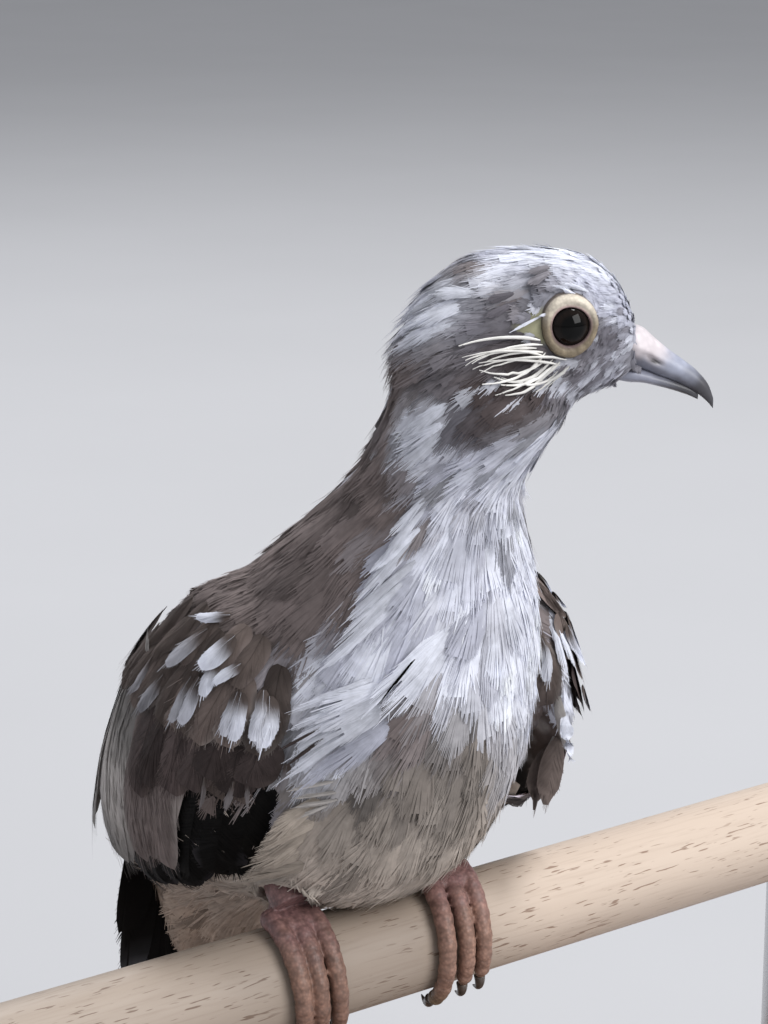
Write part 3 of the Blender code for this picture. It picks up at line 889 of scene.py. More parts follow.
def sample_roots(seed, spacing_of, most):
    """Evenly scattered roots on the skin: their places, normals, kinds and places on the unwrap."""
    source = rand(seed)
    places, normals = vertices_of(Coat.skin), normals_of(Coat.skin)
    corners = places[Coat.triangles]
    areas = np.linalg.norm(np.cross(corners[:, 1] - corners[:, 0], corners[:, 2] - corners[:, 0]), axis=1)
    picked = source.choice(len(areas), most, p=areas / areas.sum())
    first, second = source.random((2, most))
    flip = first + second > 1.0
    first[flip], second[flip] = 1.0 - first[flip], 1.0 - second[flip]
    weights = rows_of(1.0 - first - second, first, second)[..., None]
    roots = (corners[picked] * weights).sum(1)
    facing = unit((normals[Coat.triangles[picked]] * weights).sum(1))
    maps = (Coat.maps[picked] * weights).sum(1)
    kinds = Coat.kinds[Coat.triangles[picked, 0]]
    spacing = spacing_of(roots, facing, kinds)

    kept, grid, cell = [], {}, 0.8
    for i in np.flatnonzero(spacing > 0.0):
        place, reach = roots[i], spacing[i]
        key = tuple(np.floor(place / cell).astype(int))
        span = int(reach / cell) + 1
        around = product(*(range(k - span, k + span + 1) for k in key))
        gaps = (place - other for near in around for other in grid.get(near, ()))
        if all(gap @ gap >= reach * reach for gap in gaps):
            grid.setdefault(key, []).append(place)
            kept.append(i)
    kept = np.array(kept)
    return roots[kept], facing[kept], kinds[kept], maps[kept]


def lay_vanes(roots, ways, lengths, widths, stations=6):
    """Follows the skin from each root: the vane's middle and edges at each station, and normals."""
    count = len(roots)
    grid = np.empty((count, stations, 3, 3))
    normals = np.empty((count, stations, 3))
    find = Coat.tree.find_nearest
    for i in range(count):
        place, way = Vector(roots[i]), Vector(ways[i])
        step = lengths[i] / (stations - 1)
        half = widths[i] / 2
        for k in range(stations):
            found, normal, _, _ = find(place)
            if k == 0:
                facing = normal
            facing = (facing * 0.4 + normal * 0.6).normalized()
            place = found
            way = (way - facing * way.dot(facing)).normalized()
            across = facing.cross(way)
            grid[i, k, 1] = place
            normals[i, k] = facing
            for column, reach in ((0, -half), (2, half)):
                edge = place + across * reach
                grid[i, k, column] = find(edge)[0] * 0.7 + edge * 0.3
            place = place + way * step
    return grid, normals


def read_grid(grid, normals, u, v):
    """Places and normals on each vane. u runs across from -1 to 1 and v from root to tip."""
    stations = grid.shape[1]
    along = np.clip(v, 0.0, 1.2) * (stations - 1)
    low = np.clip(np.floor(along).astype(int), 0, stations - 2)
    part = (along - low)[..., None]
    row = np.arange(len(grid)).reshape((-1,) + (1,) * (u.ndim - 1))
    column = np.where(u < 0, 0, 2)
    centre = between(grid[row, low, 1], grid[row, low + 1, 1], part)
    side = between(grid[row, low, column], grid[row, low + 1, column], part)
    normal = unit(between(normals[row, low], normals[row, low + 1], part))
    return centre + np.abs(u)[..., None] * (side - centre), normal


def outline(v, bluntness):
    """A vane's half width along its length, from 0 to 1: fullest past its middle and rounded at its tip."""
    v = np.clip(v, 0.0, 1.0)
    return np.clip(1.0 - np.abs(2.0 * v**0.9 - 1.0) ** bluntness, 0.0, 1.0) ** 0.6


def web_normals(normal, across, u, roundness):
    """Normals that round each feather off from its shaft to its edges."""
    return unit(normal + across * (u * roundness)[..., None])


# The patch that each feather takes on the skin's own unwrap, round its root's place.
MAP_HALF_WIDTH = 0.0014
MAP_LENGTH = 0.0028


def over(u):
    """Stretches one row for each feather over all the places in it."""
    return (slice(None),) + (None,) * (u.ndim - 1)


def web_colours(feather, u, v):
    """The colour over a feather: its root, its middle, its tip and its edges."""
    spread_to = over(u)
    whole = feather["whole"][spread_to]
    colours = blend(feather["colour"][spread_to], feather["tip"][spread_to], soft(v, whole - 0.45, whole))
    if "root" in feather:
        colours = blend(colours, feather["root"][spread_to], soft(v, 0.55, 0.3))
    rim = feather["rim"][spread_to]
    edge_share = soft(np.abs(u) + 0.35 * soft(v, 0.75, 1.0), rim, rim + 0.3) * feather["edging"][spread_to]
    colours = blend(colours, feather["edge"][spread_to], edge_share)
    return colours * (1.0 - 0.2 * soft(v, 0.4, 0.0))[..., None]


def web_maps(feather, u, v):
    spread_to = over(u)
    within = rows_of(np.clip(u, -1, 1) * MAP_HALF_WIDTH, (np.clip(v, 0, 1) - 0.5) * MAP_LENGTH)
    return feather["map"][spread_to] + within


def barb_sheet(source, grid, normals, feather, barbs, steps):
    """The barbs of every feather, each a fine tapering ribbon that bends towards the feather's tip."""
    count, per_side = len(grid), barbs // 2
    shape_of = (count, barbs)
    side = np.tile(np.repeat((-1.0, 1.0), per_side), (count, 1))
    loose, reach = feather["loose"][:, None], feather["reach"][:, None]
    span = 1.08 - reach
    order = np.tile(np.tile(even_steps(per_side), 2), (count, 1)) * span
    order = order + source.normal(0.0, 0.5 / per_side, shape_of)
    tufts = source.integers(3, 7, (count, 1))
    number = np.tile(np.arange(count)[:, None], (1, barbs))
    clump = rows_of(np.floor(order * tufts) + side * 10.0, number, side)
    pull = lattice(clump, 4) - 0.5
    jitter = source.random(shape_of) - 0.5
    end = order + reach * (1.0 + loose * (0.5 * jitter + 0.35 * pull))
    wide = outline(end * 0.93, feather["blunt"][:, None]) * (0.55 + 0.45 * source.random(shape_of) ** 0.4)
    wide = wide * (1.0 + loose * (0.35 * jitter + 0.2 * pull)) + 0.03
    stray = loose * source.normal(0.0, 0.45, shape_of) * (source.random(shape_of) < 0.08)
    hue = 1.0 + feather["streak"][:, None] * (source.random(shape_of) - 0.5 + 0.8 * pull)

    t = even_steps(steps)
    u = (side * wide)[..., None] * t ** feather["bend"][:, None, None]
    v = order[..., None] + (end - order)[..., None] * t
    u = u + (side * stray)[..., None] * t**2 * 0.3
    flat = (count, barbs * steps)
    place, normal = read_grid(grid, normals, u.reshape(flat), v.reshape(flat))
    place, normal = place.reshape(*shape_of, steps, 3), normal.reshape(*shape_of, steps, 3)
    rise = feather["base"][:, None, None] + feather["lift"][:, None, None] * np.clip(v, 0, 1.3) ** 1.3
    rise = rise - feather["cup"][:, None, None] * u**2 + np.abs(stray)[..., None] * t**2 * 0.7
    place = place + normal * (rise + 0.025 * source.random((*shape_of, 1)))[..., None]

    run = unit(np.gradient(place, axis=2))
    across = unit(np.cross(normal, run))
    tilt = feather["tilt"][:, None, None, None]
    across = unit(across + normal * source.normal(0.0, 1.0, (*shape_of, 1, 1)) * tilt)
    thick = feather["barb"][:, None] * (0.75 + 0.5 * source.random(shape_of))
    half = (thick[..., None] * (1.0 - 0.8 * t**1.5))[..., None] * 0.5
    ribbon = np.stack([place - across * half, place + across * half], axis=3)
    sideways = unit(grid[:, :, 2] - grid[:, :, 0]).mean(1)[:, None, None, :]
    facing = web_normals(normal, sideways, u, 0.45) + across * source.normal(0.0, 0.05, (*shape_of, 1, 1))
    colours = np.clip(web_colours(feather, u, v) * hue[..., None, None], 0.0, 1.0)
    maps = web_maps(feather, u, v)
    return ribbon, np.stack([facing] * 2, 3), np.stack([colours] * 2, 3), np.stack([maps] * 2, 3)


def web_sheet(grid, normals, feather, rows, columns):
    """The closed web of every feather under its loose barbs: a patch that follows the feather's outline."""
    v = even_steps(rows)[None, :, None] * feather["web"][:, None, None]
    wide = outline(v * 0.96 + 0.02, feather["blunt"][:, None, None]) * feather["web"][:, None, None]
    u = wide * np.linspace(-1.0, 1.0, columns)
    v = np.broadcast_to(v, u.shape)
    flat = (len(grid), rows * columns)
    place, normal = read_grid(grid, normals, u.reshape(flat), v.reshape(flat))
    place, normal = place.reshape(*u.shape, 3), normal.reshape(*u.shape, 3)
    rise = feather["base"][:, None, None] + feather["lift"][:, None, None] * v**1.3 - 0.03
    rise = rise - feather["cup"][:, None, None] * u**2
    sideways = unit(grid[:, :, 2] - grid[:, :, 0]).mean(1)[:, None, None, :]
    facing = web_normals(normal, sideways, u, 0.45)
    return place + normal * rise[..., None], facing, web_colours(feather, u, v), web_maps(feather, u, v)


def shaft_sheet(grid, normals, feather, steps=7):
    """The shaft of every feather, a narrow raised ribbon."""
    v = np.tile(np.linspace(0.0, 0.97, steps), (len(grid), 1))
    place, normal = read_grid(grid, normals, v * 0.0, v)
    rise = feather["base"][:, None] + feather["lift"][:, None] * v**1.3 + 0.07
    place = place + normal * rise[..., None]
    across = unit(np.cross(normal, unit(np.gradient(place, axis=1))))
    half = (feather["shaft"][:, None] * (1.0 - 0.8 * v))[..., None] * 0.5
    ribbon = np.stack([place - across * half, place + across * half], axis=2)
    colours = np.broadcast_to(feather["rib"][:, None, None, :], ribbon.shape)
    maps = web_maps(feather, v * 0.0, v)
    return ribbon, np.stack([normal] * 2, 2), colours, np.stack([maps] * 2, 2)


def sheets_object(name, sheets):
    """One mesh from sheets of places, normals, colours and unwrap places in rows and columns."""
    gathered, quads, start = [], [], 0
    for sheet in sheets:
        rows, columns = sheet[0].shape[-3:-1]
        flat = [layer.reshape(-1, layer.shape[-1]) for layer in sheet]
        index = np.arange(len(flat[0])).reshape(-1, rows, columns) + start
        corners = (index[:, :-1, 1:], index[:, :-1, :-1], index[:, 1:, :-1], index[:, 1:, 1:])
        quads.append(np.stack(corners, -1).reshape(-1, 4))
        gathered.append(flat)
        start += len(flat[0])
    places, facing, colours, maps = (np.concatenate(layers) for layers in zip(*gathered))
    quads = np.concatenate(quads)
    mesh = bpy.data.meshes.new(name)
    mesh.vertices.add(len(places))
    mesh.loops.add(quads.size)
    mesh.polygons.add(len(quads))
    write_rows(mesh.vertices, "co", world(places))
    write_rows(mesh.loops, "vertex_index", quads, np.int32)
    write_rows(mesh.polygons, "loop_start", np.arange(0, quads.size, 4), np.int32)
    mesh.update(calc_edges=True)
    mesh.shade_smooth()
    soft_normals = mesh.attributes.new("custom_normal", "FLOAT_VECTOR", "POINT")
    write_rows(soft_normals.data, "vector", unit(facing))
    write_rows(mesh.uv_layers.new(name="OFBake").data, "uv", maps[quads.ravel()])
    obj = placed(name, mesh)
    paint(obj, colours)
    return obj


def feather_rows(count, **values):
    """One number of each value for every feather."""
    return {label: np.full(count, value, float) for label, value in values.items()}


def pick_rows(feather, keep):
    return {label: rows[keep] for label, rows in feather.items()}


def coat_spacing(roots, facing, kinds):
    """How far apart the feathers' roots stand. 0 leaves a place bare."""
    local = from_head(roots)
    ahead = -local[:, 1]
    side = np.sign(roots[:, 0])
    spacing = np.full(len(roots), 1.6)
    spacing[roots[:, 1] > 2.0] = 1.85
    spacing[kinds == "neck"] = 1.15
    head = kinds == "head"
    spacing[head] = 0.88 - 0.38 * soft(ahead[head], -4.0, 6.5)
    round_eye = np.hypot(local[:, 1], local[:, 2] / 1.1)
    at_eye = head & (np.abs(local[:, 0]) > 3.0)
    spacing[at_eye & (round_eye < 6.0)] *= 0.85
    spacing[at_eye & (round_eye < 2.95)] = 0.0
    behind = local[:, 1] > 0
    bare_patch = behind & (local[:, 1] < 4.6) & (np.abs(local[:, 2]) < 1.6 - 0.3 * local[:, 1])
    spacing[at_eye & bare_patch] = 0.0
    spacing[kinds == "coverts"] = 1.7
    inner = facing[:, 0] * side < -0.1
    spacing[((kinds == "coverts") | (kinds == "flights")) & inner] = 0.0
    spacing[(kinds == "flights") | (kinds == "tail")] = 0.0
    under = (kinds == "trunk") & (np.hypot(roots[:, 1], roots[:, 2]) < 7.6)
    spacing[under] = 0.0
    return spacing


def coat_feathers(roots, ways, kinds, maps, source):
    """The size, shape and colour of each small feather, by where it grows."""
    count = len(roots)
    local = from_head(roots)
    ahead = -local[:, 1]
    head, neck = kinds == "head", kinds == "neck"
    coverts = kinds == "coverts"
    face = soft(ahead, -3.0, 6.5)
    round_eye = np.linalg.norm(local[:, 1:], axis=1)
    low = soft(roots[:, 2], 34.0, 16.0)
    back = soft(roots[:, 1], -8.0, -2.0)
    crest = head * soft(local[:, 1], 7.5, 13.0) * soft(local[:, 2], -6.0, 0.0)

    def each(for_head, for_neck, for_wing, for_body):
        return np.where(head, for_head, np.where(neck, for_neck, np.where(coverts, for_wing, for_body)))

    long = each(4.0 - 2.5 * face, 5.6, 5.2, 8.6 + 1.6 * low)
    long = np.where(head & (round_eye < 5.0), np.minimum(long, 1.6), long) + 1.6 * crest
    wide = each(1.7 - 0.85 * face, 2.8, 4.0, 4.8 + 0.6 * back)
    feather = feather_rows(
        count,
        length=long * (0.8 + 0.4 * source.random(count)),
        width=wide * (0.8 + 0.4 * source.random(count)),
        base=np.where(head, 0.08, 0.2),
        lift=each(0.36 - 0.16 * face, 0.55, 0.6, 0.42),
        cup=each(0.06, 0.28, 0.25, 0.28),
        reach=each(0.6, 0.7, 0.45, 0.74),
        bend=np.where(coverts, 0.95, 0.75),
        blunt=np.where(coverts, 3.0, 2.1),
        loose=each(0.55, 0.6, 0.6, 0.62 + 0.2 * low),
        streak=np.where(coverts, 0.22, 0.08),
        tilt=np.where(coverts | head, 0.15, 0.06),
        whole=1.02,
        barb=each(0.15 - 0.03 * face, 0.18, 0.18, 0.3),
        web=each(0.75 + 0.12 * face, 0.8, 0.85, 0.9),
        edging=np.where(coverts, 0.5, 0.1),
        rim=0.55,
        shaft=np.where(coverts, 0.12, 0.07),
    )
    feather["lift"] *= 0.5 + 1.0 * source.random(count) ** 2.0
    feather["lift"] += crest * (0.6 + 0.9 * source.random(count))
    colours = coat_markings(roots + ways * (0.55 * long)[:, None], kinds)
    odd = source.random(count)
    colours = blend(colours, colours * 0.6, (odd < 0.08) & ~coverts & (face < 0.5))
    pale = (odd > 0.93) & (head | neck)
    colours = blend(colours, tone("white") * 0.9, pale * 0.6)
    face_fleck = head & (ahead > -2.0) & (local[:, 2] < 1.0)
    fleck = source.random(count)
    colours = blend(colours, tone("white") * 0.85, face_fleck * (fleck > 0.78) * 0.6)
    colours = blend(colours, tone("dusk"), face_fleck * (fleck < 0.25) * 0.7)
    colours = colours * (1.0 + (0.22 - 0.12 * face * head) * (source.random(count) - 0.5))[:, None]
    tip = np.clip(colours * np.where(coverts, 0.9, 1.05)[:, None], 0, 0.95)
    edge = colours * np.where(coverts, 0.62, 1.08)[:, None]
    return feather | {"colour": colours, "tip": tip, "edge": edge, "rib": colours * 0.85, "map": maps}


def make_coat():
    """Small feathers over the head, neck, body and the wings' arms, in one piece for each."""
    seed = settings().seed
    source = rand(seed)
    roots, facing, kinds, maps = sample_roots(seed, coat_spacing, most=90000)
    ways = lie(roots, facing, kinds)
    feather = coat_feathers(roots, ways, kinds, maps, source)
    body, upper = kinds == "trunk", roots[:, 2] > 30.0
    # Each piece: its feathers, the barbs of a feather, the points along a barb, and the rows and
    # columns of a feather's web.
    regions = {
        "coat_head": (kinds == "head", 18, 3, 4, 3),
        "coat_neck": (kinds == "neck", 40, 3, 5, 3),
        "coat_breast": (body & (roots[:, 1] < -4.0) & upper, 60, 4, 6, 4),
        "coat_belly": (body & ~upper & (roots[:, 1] < 2.0), 40, 4, 6, 4),
        "coat_vent": (body & ~upper & (roots[:, 1] >= 2.0), 32, 4, 6, 4),
        "coat_back": (body & (roots[:, 1] >= -4.0) & upper, 50, 4, 6, 4),
        "coat_wing_right": ((kinds == "coverts") & (roots[:, 0] < 0.0), 40, 3, 7, 4),
        "coat_wing_left": ((kinds == "coverts") & (roots[:, 0] >= 0.0), 40, 3, 7, 4),
    }
    for name, (keep, barbs, steps, rows, columns) in regions.items():
        part = pick_rows(feather, keep)
        grid, normals = lay_vanes(roots[keep], ways[keep], part["length"], part["width"])
        tail_y, tail_z = (np.array(TAIL_LINE[::-1]) - (1.5, 0.0)).T
        _, tip_y, tip_z = grid[:, -1, 1].T
        clear = (tip_z > -2.0) | (tip_y < np.interp(tip_z, tail_z, tail_y))
        part, grid, normals = pick_rows(part, clear), grid[clear], normals[clear]
        sheets = [
            web_sheet(grid, normals, part, rows, columns),
            barb_sheet(source, grid, normals, part, barbs, steps),
        ]
        if "wing" in name:
            sheets.append(shaft_sheet(grid, normals, part))
        finish_piece(sheets_object(name, sheets), contour_material(), "plumage")


# ---- Wing quills, tail and pin feathers ----

# Rows of a wing's quills, front to back: their number, the first and the last root (y, z), the
# direction they point in at the first and the last (degrees below level), the lengths, the width, how
# high they lie, the lift of their tips, the colour, the rim's colour and how strong the rim is.
QUILL_ROWS = (
    (9, (4.0, 24.0), (22.0, 22.0), (60, 50), (19, 23), 5.6, 0.1, 0.35, "black", "dusk", 0.1),
    (7, (-4.5, 26.5), (11.0, 26.5), (70, 62), (16, 25.8), 7.6, 0.4, 1.0, "black", "dusk", 0.4),
    (4, (4.0, 30.0), (8.5, 31.5), (69, 68), (19, 23), 6.0, 1.1, 0.8, "umber", "tertial", 0.4),
    (3, (9.5, 37.0), (18.0, 36.0), (65, 63), (34, 31), 8.6, 1.45, 0.7, "tertial", "dusk", 0.25),
    (8, (-6.5, 32.5), (6.5, 33.0), (72, 62), (6.5, 12.5), 6.0, 1.2, 0.8, "sepia", "covert", 0.5),
    (12, (-7.0, 37.0), (16.0, 38.5), (74, 62), (7.5, 8.5), 4.4, 1.3, 0.7, "covert", "tertial", 0.25),
    (8, (-6.0, 41.0), (9.0, 42.0), (76, 66), (6.0, 6.5), 3.4, 1.3, 0.3, "covert", "umber", 0.4),
)
# Wing feathers with white ends: where the white lies (y, z), how steeply they point down in degrees,
# their length and width, and how white they are.
WHITE_ENDS = (
    (2.8, 41.0, 22, 4.2, 1.3, 0.9), (-0.4, 38.2, 70, 4.5, 2.8, 1.0), (-0.6, 36.3, 76, 3.4, 1.8, 1.0),
    (-2.4, 37.2, 62, 3.0, 1.6, 1.0), (4.0, 37.4, 58, 6.0, 1.7, 0.55), (-3.3, 33.8, 78, 4.8, 1.8, 0.85),
    (-4.0, 33.6, 80, 5.0, 2.1, 1.0), (-4.6, 33.8, 84, 5.0, 1.9, 0.95), (-5.2, 33.2, 86, 5.0, 2.0, 1.0),
    (-5.7, 33.0, 90, 4.6, 1.7, 0.9), (1.2, 33.6, 76, 5.2, 2.1, 0.8), (2.6, 33.4, 72, 5.2, 1.9, 0.65),
    (8.0, 32.6, 68, 5.2, 2.0, 0.45), (11.0, 33.4, 60, 5.2, 2.0, 0.35), (-2.4, 25.0, 72, 3.6, 0.7, 0.16),
    (-4.0, 25.6, 76, 3.2, 0.6, 0.14), (0.4, 24.8, 68, 3.6, 0.6, 0.12), (-7.4, 27.6, 84, 3.0, 1.0, 0.2),
)


def wing_surface(sign, y, z):
    """The place on the outer face of a wing at a height and a distance back."""
    hit = Coat.tree.ray_cast(Vector((sign * 40.0, y, z)), Vector((-sign, 0.0, 0.0)))
    return None if hit[0] is None else (hit[0], hit[2])


def nearest_map(index):
    return Coat.maps[index].mean(0)


def quill_values(count, length, width, **others):
    """The rows that a quill needs, with the values that all quills share."""
    shared = {"cup": 0.35, "reach": 0.16, "bend": 1.0, "blunt": 3.4, "loose": 0.12, "streak": 0.16}
    shared |= {"barb": 0.2, "web": 0.97, "rim": 0.72, "shaft": 0.24, "edging": 0.0}
    shared |= {"tilt": 0.04, "whole": 1.0}
    return feather_rows(count, length=length, width=width, **(shared | others))


def quill_sheets(source, grid, normals, feather, barbs):
    return [
        web_sheet(grid, normals, feather, rows=14, columns=6),
        barb_sheet(source, grid, normals, feather, barbs, steps=4),
        shaft_sheet(grid, normals, feather, steps=12),
    ]


def white_ended(source, sign):
    """The white-ended feathers among the wing's small feathers."""
    roots, ways, maps, sizes = [], [], [], []
    for y, z, angle, long, wide, strength in WHITE_ENDS:
        turn = math.radians(angle + source.normal(0.0, 7.0))
        wide = wide * (0.75 + 0.5 * source.random())
        way = np.array((0.0, math.cos(turn), -math.sin(turn)))
        found = wing_surface(sign, y - way[1] * long * 0.6, z - way[2] * long * 0.6)
        if found is not None:
            roots.append(found[0])
            ways.append(way)
            maps.append(nearest_map(found[1]))
            sizes.append((long, wide, strength))
    long, wide, strength = np.array(sizes).T
    softness = {"reach": 0.5, "loose": 0.8, "barb": 0.15, "whole": 0.62, "shaft": 0.03}
    feather = quill_values(len(long), long, wide, base=1.8, lift=0.7, **softness)
    light = (0.75 + 0.25 * source.random(len(long)))[:, None]
    tip = blend(tone("covert") * light, tone("white") * light, strength)
    feather |= {"colour": tone("covert") * light * 0.85, "tip": tip, "edge": tip, "rib": tip * 0.9}
    feather["map"] = np.array(maps)
    grid, normals = lay_vanes(np.array(roots), np.array(ways), feather["length"], feather["width"])
    return quill_sheets(source, grid, normals, feather, barbs=60)


def make_wing_quills(side, sign):
    """The long feathers of one wing, in overlapping rows."""
    source = rand(settings().seed + (3 if sign > 0 else 4))
    sheets = []
    for count, start, end, angles, lengths, width, base, lift, body, rim, strength in QUILL_ROWS:
        roots, ways, maps, share = [], [], [], []
        for t in even_steps(count):
            y = start[0] + (end[0] - start[0]) * t + source.normal(0.0, 0.35)
            z = start[1] + (end[1] - start[1]) * t + source.normal(0.0, 0.5)
            found = wing_surface(sign, y, z)
            if found is None:
                continue
            angle = math.radians(angles[0] + (angles[1] - angles[0]) * t + source.normal(0.0, 3.5))
            roots.append(found[0])
            ways.append((0.0, math.cos(angle), -math.sin(angle)))
            maps.append(nearest_map(found[1]))
            share.append(t)
        share = np.array(share)
        long = lengths[0] + (lengths[1] - lengths[0]) * share + source.normal(0.0, 0.5, len(share))
        loose = {"black": 0.12, "tertial": 0.35}.get(body, 0.7)
        feather = quill_values(len(share), long, width, base=base + 0.35 * share, lift=lift)
        feather |= feather_rows(len(share), loose=loose, edging=strength)
        if body != "black":
            feather |= feather_rows(len(share), reach=0.5, barb=0.15, shaft=0.1)
        light = (0.6 + 0.9 * source.random(len(share)) ** 1.5)[:, None]
        if body == "tertial":
            light = np.maximum(light, 1.0)
        if sign > 0 and body == "black":
            feather["edging"] = np.maximum(feather["edging"], 0.7 * (share < 0.45))
        light = light * (1.0 + (24.0 if sign > 0 and body == "black" else 0.0) * (share < 0.45))[:, None]
        colours, ends = tone(body) * light, 0.4 if body == "tertial" else 1.0
        feather |= {"colour": colours, "tip": colours * ends, "root": colours * ends}
        feather |= {"edge": tone(rim) * light, "rib": colours * 0.6, "map": np.array(maps)}
        grid, normals = lay_vanes(np.array(roots), np.array(ways), feather["length"], feather["width"], 9)
        sheets += quill_sheets(source, grid, normals, feather, barbs=130)
    sheets += white_ended(source, sign)
    finish_piece(sheets_object(f"quills_{side}", sheets), quill_material(), "flight_feathers")


# The tail's feathers from the middle out: how far aside the root and the tip lie, and the length.
TAIL_QUILLS = (
    (0.4, 0.7, 61.0), (1.2, 2.0, 58.0), (2.0, 3.4, 51.0),
    (2.7, 4.6, 43.0), (3.3, 5.7, 35.0), (3.8, 6.6, 28.0),
)
# The line that the tail's feathers lie along, from its root: y and z.
TAIL_LINE = (
    (37.5, 14.5), (41.8, 6.0), (44.0, -4.0), (45.6, -16.0), (47.0, -27.0), (48.4, -36.0), (49.8, -46.0),
)


# How far each pair of tail feathers lies under the one before it.
RANK_STEP = 0.28


def make_tail():
    """A closed, graduated tail whose middle pair is the longest and lies on top."""
    source = rand(settings().seed + 7)
    line = curve_rows(TAIL_LINE, 60)
    travelled = np.concatenate([[0.0], np.cumsum(np.linalg.norm(np.diff(line, axis=0), axis=1))])
    sheets = []
    stations = 12
    for rank, (root_x, tip_x, long) in enumerate(TAIL_QUILLS):
        for sign in (-1, 1):
            along = np.linspace(0.0, long, stations)
            y = np.interp(along, travelled, line[:, 0])
            z = np.interp(along, travelled, line[:, 1])
            x = sign * (root_x + (tip_x - root_x) * along / long)
            spine = rows_of(x, y - RANK_STEP * rank, z)
            run = unit(np.gradient(spine, axis=0))
            across = np.tile(np.array((-1.0, 0.0, 0.0)), (stations, 1))
            normal = unit(np.cross(across, run))
            normal = np.where(normal[:, 1:2] < 0, -normal, normal)
            half = 2.0 + 0.15 * rank
            grid = np.stack([spine - across * half, spine, spine + across * half], 1)[None]
            found = Coat.tree.find_nearest(Vector(spine[3]))
            feather = quill_values(1, long, 2 * half, base=0.0, lift=0.25, reach=0.09, blunt=6.0, whole=1.3)
            black, tip = tone("black"), tone("white") * 0.8 if rank in (3, 4) else tone("black")
            feather |= {"colour": black[None], "tip": tip[None], "edge": black[None]}
            feather |= {"rib": (black * 2.0)[None], "map": nearest_map(found[2])[None]}
            sheets += quill_sheets(source, grid, normal[None], feather, barbs=200)
    finish_piece(sheets_object("quills_tail", sheets), quill_material(), "flight_feathers")


# Fans of loose feathers over the coat: the root and the tip of the first, the root and the tip of the
# last, their widths, how many there are, their colour and how high their tips lie over the skin. A
# height of 0 leaves the feathers straight and free of the coat.
FLANK_FANS = (
    ((-12, -15.5, 38.5), (-16.5, -10.5, 36), (-11, -16, 35.5), (-17, -9.5, 29), (1.2, 1.6), 5, "white", 2.5),
    ((-11.5, -16, 38), (-15.5, -12, 36.5),
     (-11, -16.5, 35.5), (-15.5, -12.5, 32), (2.4, 3.4), 3, "white", 2.5),
    ((-11, -16, 34), (-16, -10.5, 27.5),
     (-10.5, -16.5, 33.5), (-14.5, -13, 29.5), (2, 3.4), 2, "blue_grey", 2.5),
    ((-13, -14.5, 36), (-17.5, -9, 31.5), (-13.5, -14, 34.5), (-17, -9.5, 30), (0.5, 0.5), 2, "sepia", 3),
    ((-14, -11.5, 26.5), (-16.5, -9.5, 26),
     (-13.5, -11, 24), (-16, -8.5, 23), (0.6, 0.6), 4, "tertial", 1.8),
    # The last two fans take the fluff's colour, the buff painted paler as light bounced up from below.
    ((-15, -9, 24), (-17, -6, 21.5), (-14.5, -5, 15.5), (-17.5, -1.5, 13.5), (2.2, 2.6), 7, "fluff", 2.3),
    ((-15, -8, 22), (-17, -5, 20), (-14.5, -3.5, 14.5), (-17, 0, 13), (1.8, 2.2), 6, "fluff", 2.3),
)
BREAST_FANS = (
    ((-6.5, -19, 58.5), (-10, -17, 55), (-10.5, -17, 46.5), (-15, -13, 40.5), (1.1, 1.4), 9, "white", 1.6),
    ((-5.5, -20, 43.5), (-12, -17, 37), (-6, -20, 41), (-11, -17.5, 35.5), (3.4, 3.2), 2, "white", 1.6),
    ((-8, -19.5, 42), (-11, -17.5, 38), (-8, -19.5, 42), (-11, -17.5, 38), (0.2, 0.2), 1, "black", 2.1),
    ((-7, -21, 68.5), (-8.5, -17.5, 65.5), (-7, -21, 65), (-9, -17, 62), (2, 2), 4, "white", 1.3),
)
HEAD_FANS = (
    ((0, -24, 80), (-2.5, -23.5, 79.5), (-0.5, -24.5, 79), (-3, -24, 78), (1, 1), 2, "dusk", 0.8),
    ((4.5, -24.5, 82.5), (2, -24.5, 82), (4, -25, 82), (1.5, -25, 81), (1, 1), 2, "smoke", 0.8),
    ((-3.5, -21, 80.5), (-5.5, -18, 79.5),
     (-5, -20.5, 77.5), (-7.5, -16, 74.5), (1.8, 2.2), 3, "white", 1.3),
    ((7, -27.5, 80), (5.5, -25.5, 80), (6.5, -27, 80.5), (3.5, -27, 81), (0.45, 0.45), 2, "white", 0.7),
    ((5.5, -28, 80), (5.5, -24.5, 79), (1.5, -26, 77.5), (-1, -25.5, 76.5), (0.5, 0.3), 3, "white", 0.7),
)
WING_FANS = (
    ((21.5, -5, 21), (18.5, -6, 14.5), (21.5, -6.5, 22.5), (19, -7.5, 15.5), (3.4, 3), 2, "covert", 0),
    ((21, -6, 22.5), (23.5, -1.5, 15), (19.5, -8.5, 29), (22, -8, 22), (1, 1.4), 2, "tertial", 0),
    ((22, -6, 38), (22.5, -8, 33.5), (21, -6.5, 38), (20, -9.5, 32.5), (1.2, 1.4), 3, "white", 1.8),
    ((20.5, -9, 26.5), (20, -11, 22), (20.5, -9, 26.5), (20, -11, 22), (1.8, 1.8), 1, "white", 0),
    ((-21.5, 15, 29.5), (-20.5, 13.5, 38.5),
     (-21.5, 15, 29.5), (-20.5, 13.5, 38.5), (4, 4), 1, "tertial", 0),
)


def fan_feathers(source):
    """Each feather of every fan: its root, its tip, its width, its colour's name and its height."""
    made = []
    for root, tip, last_root, last_tip, widths, count, name, height in (
        FLANK_FANS + BREAST_FANS + HEAD_FANS + WING_FANS
    ):
        ends = np.array((root, tip), float)
        last_ends = np.array((last_root, last_tip), float)
        for t in even_steps(count):
            stray = source.normal(0.0, 0.25, (2, 3)) * (count > 2)
            first, second = between(ends, last_ends, t) + stray
            made.append((first, second, between(*widths, t), name, height))
    return made


